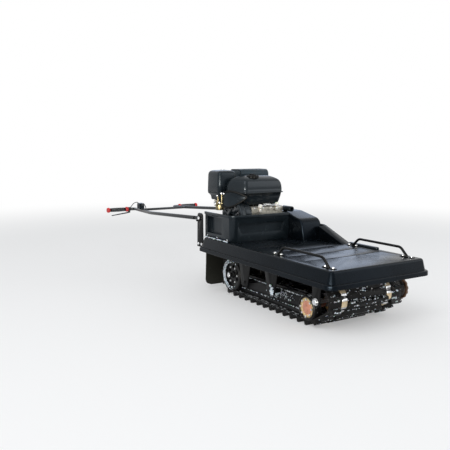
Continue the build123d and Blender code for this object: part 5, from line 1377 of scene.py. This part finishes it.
def side_snow(rng, side):
    """Snow on one side's beam, hanger and rear wheel, more of it on the right.

    A star shaped splash and a few specks ahead of it lie on the pressed panel, a lump at the hanger's foot,
    lines along the panel's edges, and rings near the rim of the rear wheel, behind its axle."""
    right = side < 0
    beam_low, beam_high = box_mm("suspension_beam_right")
    hanger_low, hanger_high = box_mm("hanger_plates")
    wall, out = -side * beam_low[1], (0, side, 0)
    count, splash_width, splash_height, splash_reach = 800 if right else 90, 34, 15, 2.3
    mean_away, rays, ray_share, ray_turn = 0.75, 7, 0.45, 1.0
    turn = rng.uniform(0, 2 * pi, count)
    away = rng.exponential(mean_away, count) * (1 + ray_share * np.cos(rays * turn + ray_turn))
    turn, away = turn[away < splash_reach], away[away < splash_reach]
    x, z = SPLASH_X + splash_width * away * np.cos(turn), SPLASH_Z + splash_height * away * np.sin(turn)
    snow = [patch(x, wall, z, out, rng.lognormal(0.8, 0.45, len(x)))]

    count, speck_start, speck_run, speck_height = 40, 60, 130, 12
    x = SPLASH_X + speck_start + rng.uniform(0, speck_run, count)
    z = SPLASH_Z + rng.normal(0, speck_height, count)
    snow.append(patch(x, wall, z, out, rng.lognormal(0.8, 0.4, count)))

    lump_in, lump_up, lump_width, lump_height = 48, 34, 11, 14
    away = rng.normal(0, 1, (150 if right else 40, 2))
    away = away[(np.abs(away[:, 0]) < 1.5) & (np.abs(away[:, 1]) < 2.2)]
    x = hanger_high[0] - lump_in + lump_width * away[:, 0]
    z = hanger_low[2] + lump_up + lump_height * away[:, 1]
    snow.append(patch(x, side * hanger_high[1], z, out, rng.lognormal(0.7, 0.45, len(x))))

    count, end_gap, upper_down, lower_up, upper_share = 300, 60, 25, 6, 0.6
    x = rng.uniform(beam_low[0] + end_gap, beam_high[0] - end_gap, count)
    on_upper = rng.random(count) < upper_share
    edge = np.where(on_upper, beam_high[2] - upper_down, beam_low[2] + lower_up)
    snow.append(patch(x, wall, edge + rng.normal(0, 1, count), out, rng.lognormal(0.7, 0.3, count)))

    count, behind, spread, ring_gaps, uneven = 420, radians(185), 0.75, np.array([4, 12, 21]), 1.5
    axle_x, axle_z, reach = wheel_circle(REAR_LOW, REAR_HIGH)
    turn = behind + rng.normal(0, spread, count)
    ring = rng.choice(reach - ring_gaps, count) + rng.normal(0, uneven, count)
    snow.append(patch(axle_x + ring * np.cos(turn), side * REAR_HIGH[1], axle_z + ring * np.sin(turn), out,
                      rng.lognormal(0.9, 0.35, count)))
    return snow


def ledge_snow(rng):
    """A broken streak on the hood's ledge along the engine box, kept where a sum of sine waves is high."""
    count, start, end, proud, width, kept_above = 420, 10, 300, 2.5, 4, -0.2
    low, _ = box_mm("engine_box")
    x = rng.uniform(low[0] + start, low[0] + end, count)
    keep = np.sin(x / 13) + np.sin(x / 5.7) + rng.normal(0, 0.5, count) > kept_above
    y = low[1] - np.abs(rng.normal(0, width, count))
    return patch(x[keep], y[keep], low[2] + proud, (0, 0, 1), rng.lognormal(1.1, 0.4, count)[keep])


class TUG_OT_snow(Operator):
    """Sticks powder snow on the belt, the beams, the hangers, the rear wheels and the hood's ledge"""
    bl_idname = "tug.snow"
    bl_label = "Stuck snow"

    def execute(self, context):
        rng = np.random.default_rng(7)
        snow = [belt_snow(rng), *side_snow(rng, -1), *side_snow(rng, 1), ledge_snow(rng)]
        places, normals = np.vstack([part[0] for part in snow]), np.vstack([part[1] for part in snow])
        smallest, largest = 1.2, 9.0
        sizes = np.clip(np.concatenate([part[2] for part in snow]), smallest, largest)
        axes = frame_of(normals, rng.uniform(0, 2 * pi, len(sizes)))
        # Each lump is stretched its own way, and flatter along the normal
        stretch = rng.uniform(0.7, 1.5, (len(sizes), 3)) * (1, 1, 0.6) * sizes[:, None]
        shape = copies(*blob(), places, axes, stretch)
        piece_of("stuck_snow", [shape], "track_rubber", "machine", finish=snow_powder())
        return {"FINISHED"}


class TUG_PT_panel(Panel):
    """Sidebar panel that lists the pieces"""
    bl_label = "Snow Tug"
    bl_idname = "TUG_PT_panel"
    bl_space_type = "VIEW_3D"
    bl_region_type = "UI"
    bl_category = "Snow Tug"

    def draw(self, context):
        for name in TugSettings.__annotations__:
            self.layout.prop(context.scene.tug, name)
        for operator in PIECES:
            self.layout.operator(operator.bl_idname)


PIECES = (
    TUG_OT_stage, TUG_OT_dress, TUG_OT_clips, TUG_OT_fasteners, TUG_OT_engine, TUG_OT_lip, TUG_OT_rubber,
    TUG_OT_tank, TUG_OT_grips, TUG_OT_snow,
)
CLASSES = (TugSettings, *PIECES, TUG_PT_panel)


def register():
    """Registers the classes and hangs the settings on the scene."""
    for cls in CLASSES:
        bpy.utils.register_class(cls)
    bpy.types.Scene.tug = PointerProperty(type=TugSettings)


def unregister():
    """Takes the settings and the classes away again."""
    del bpy.types.Scene.tug
    for cls in reversed(CLASSES):
        bpy.utils.unregister_class(cls)


def main():
    """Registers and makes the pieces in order."""
    register()
    for operator in PIECES:
        group, name = operator.bl_idname.split(".")
        getattr(getattr(bpy.ops, group), name)()


if __name__ == "__main__":
    main()
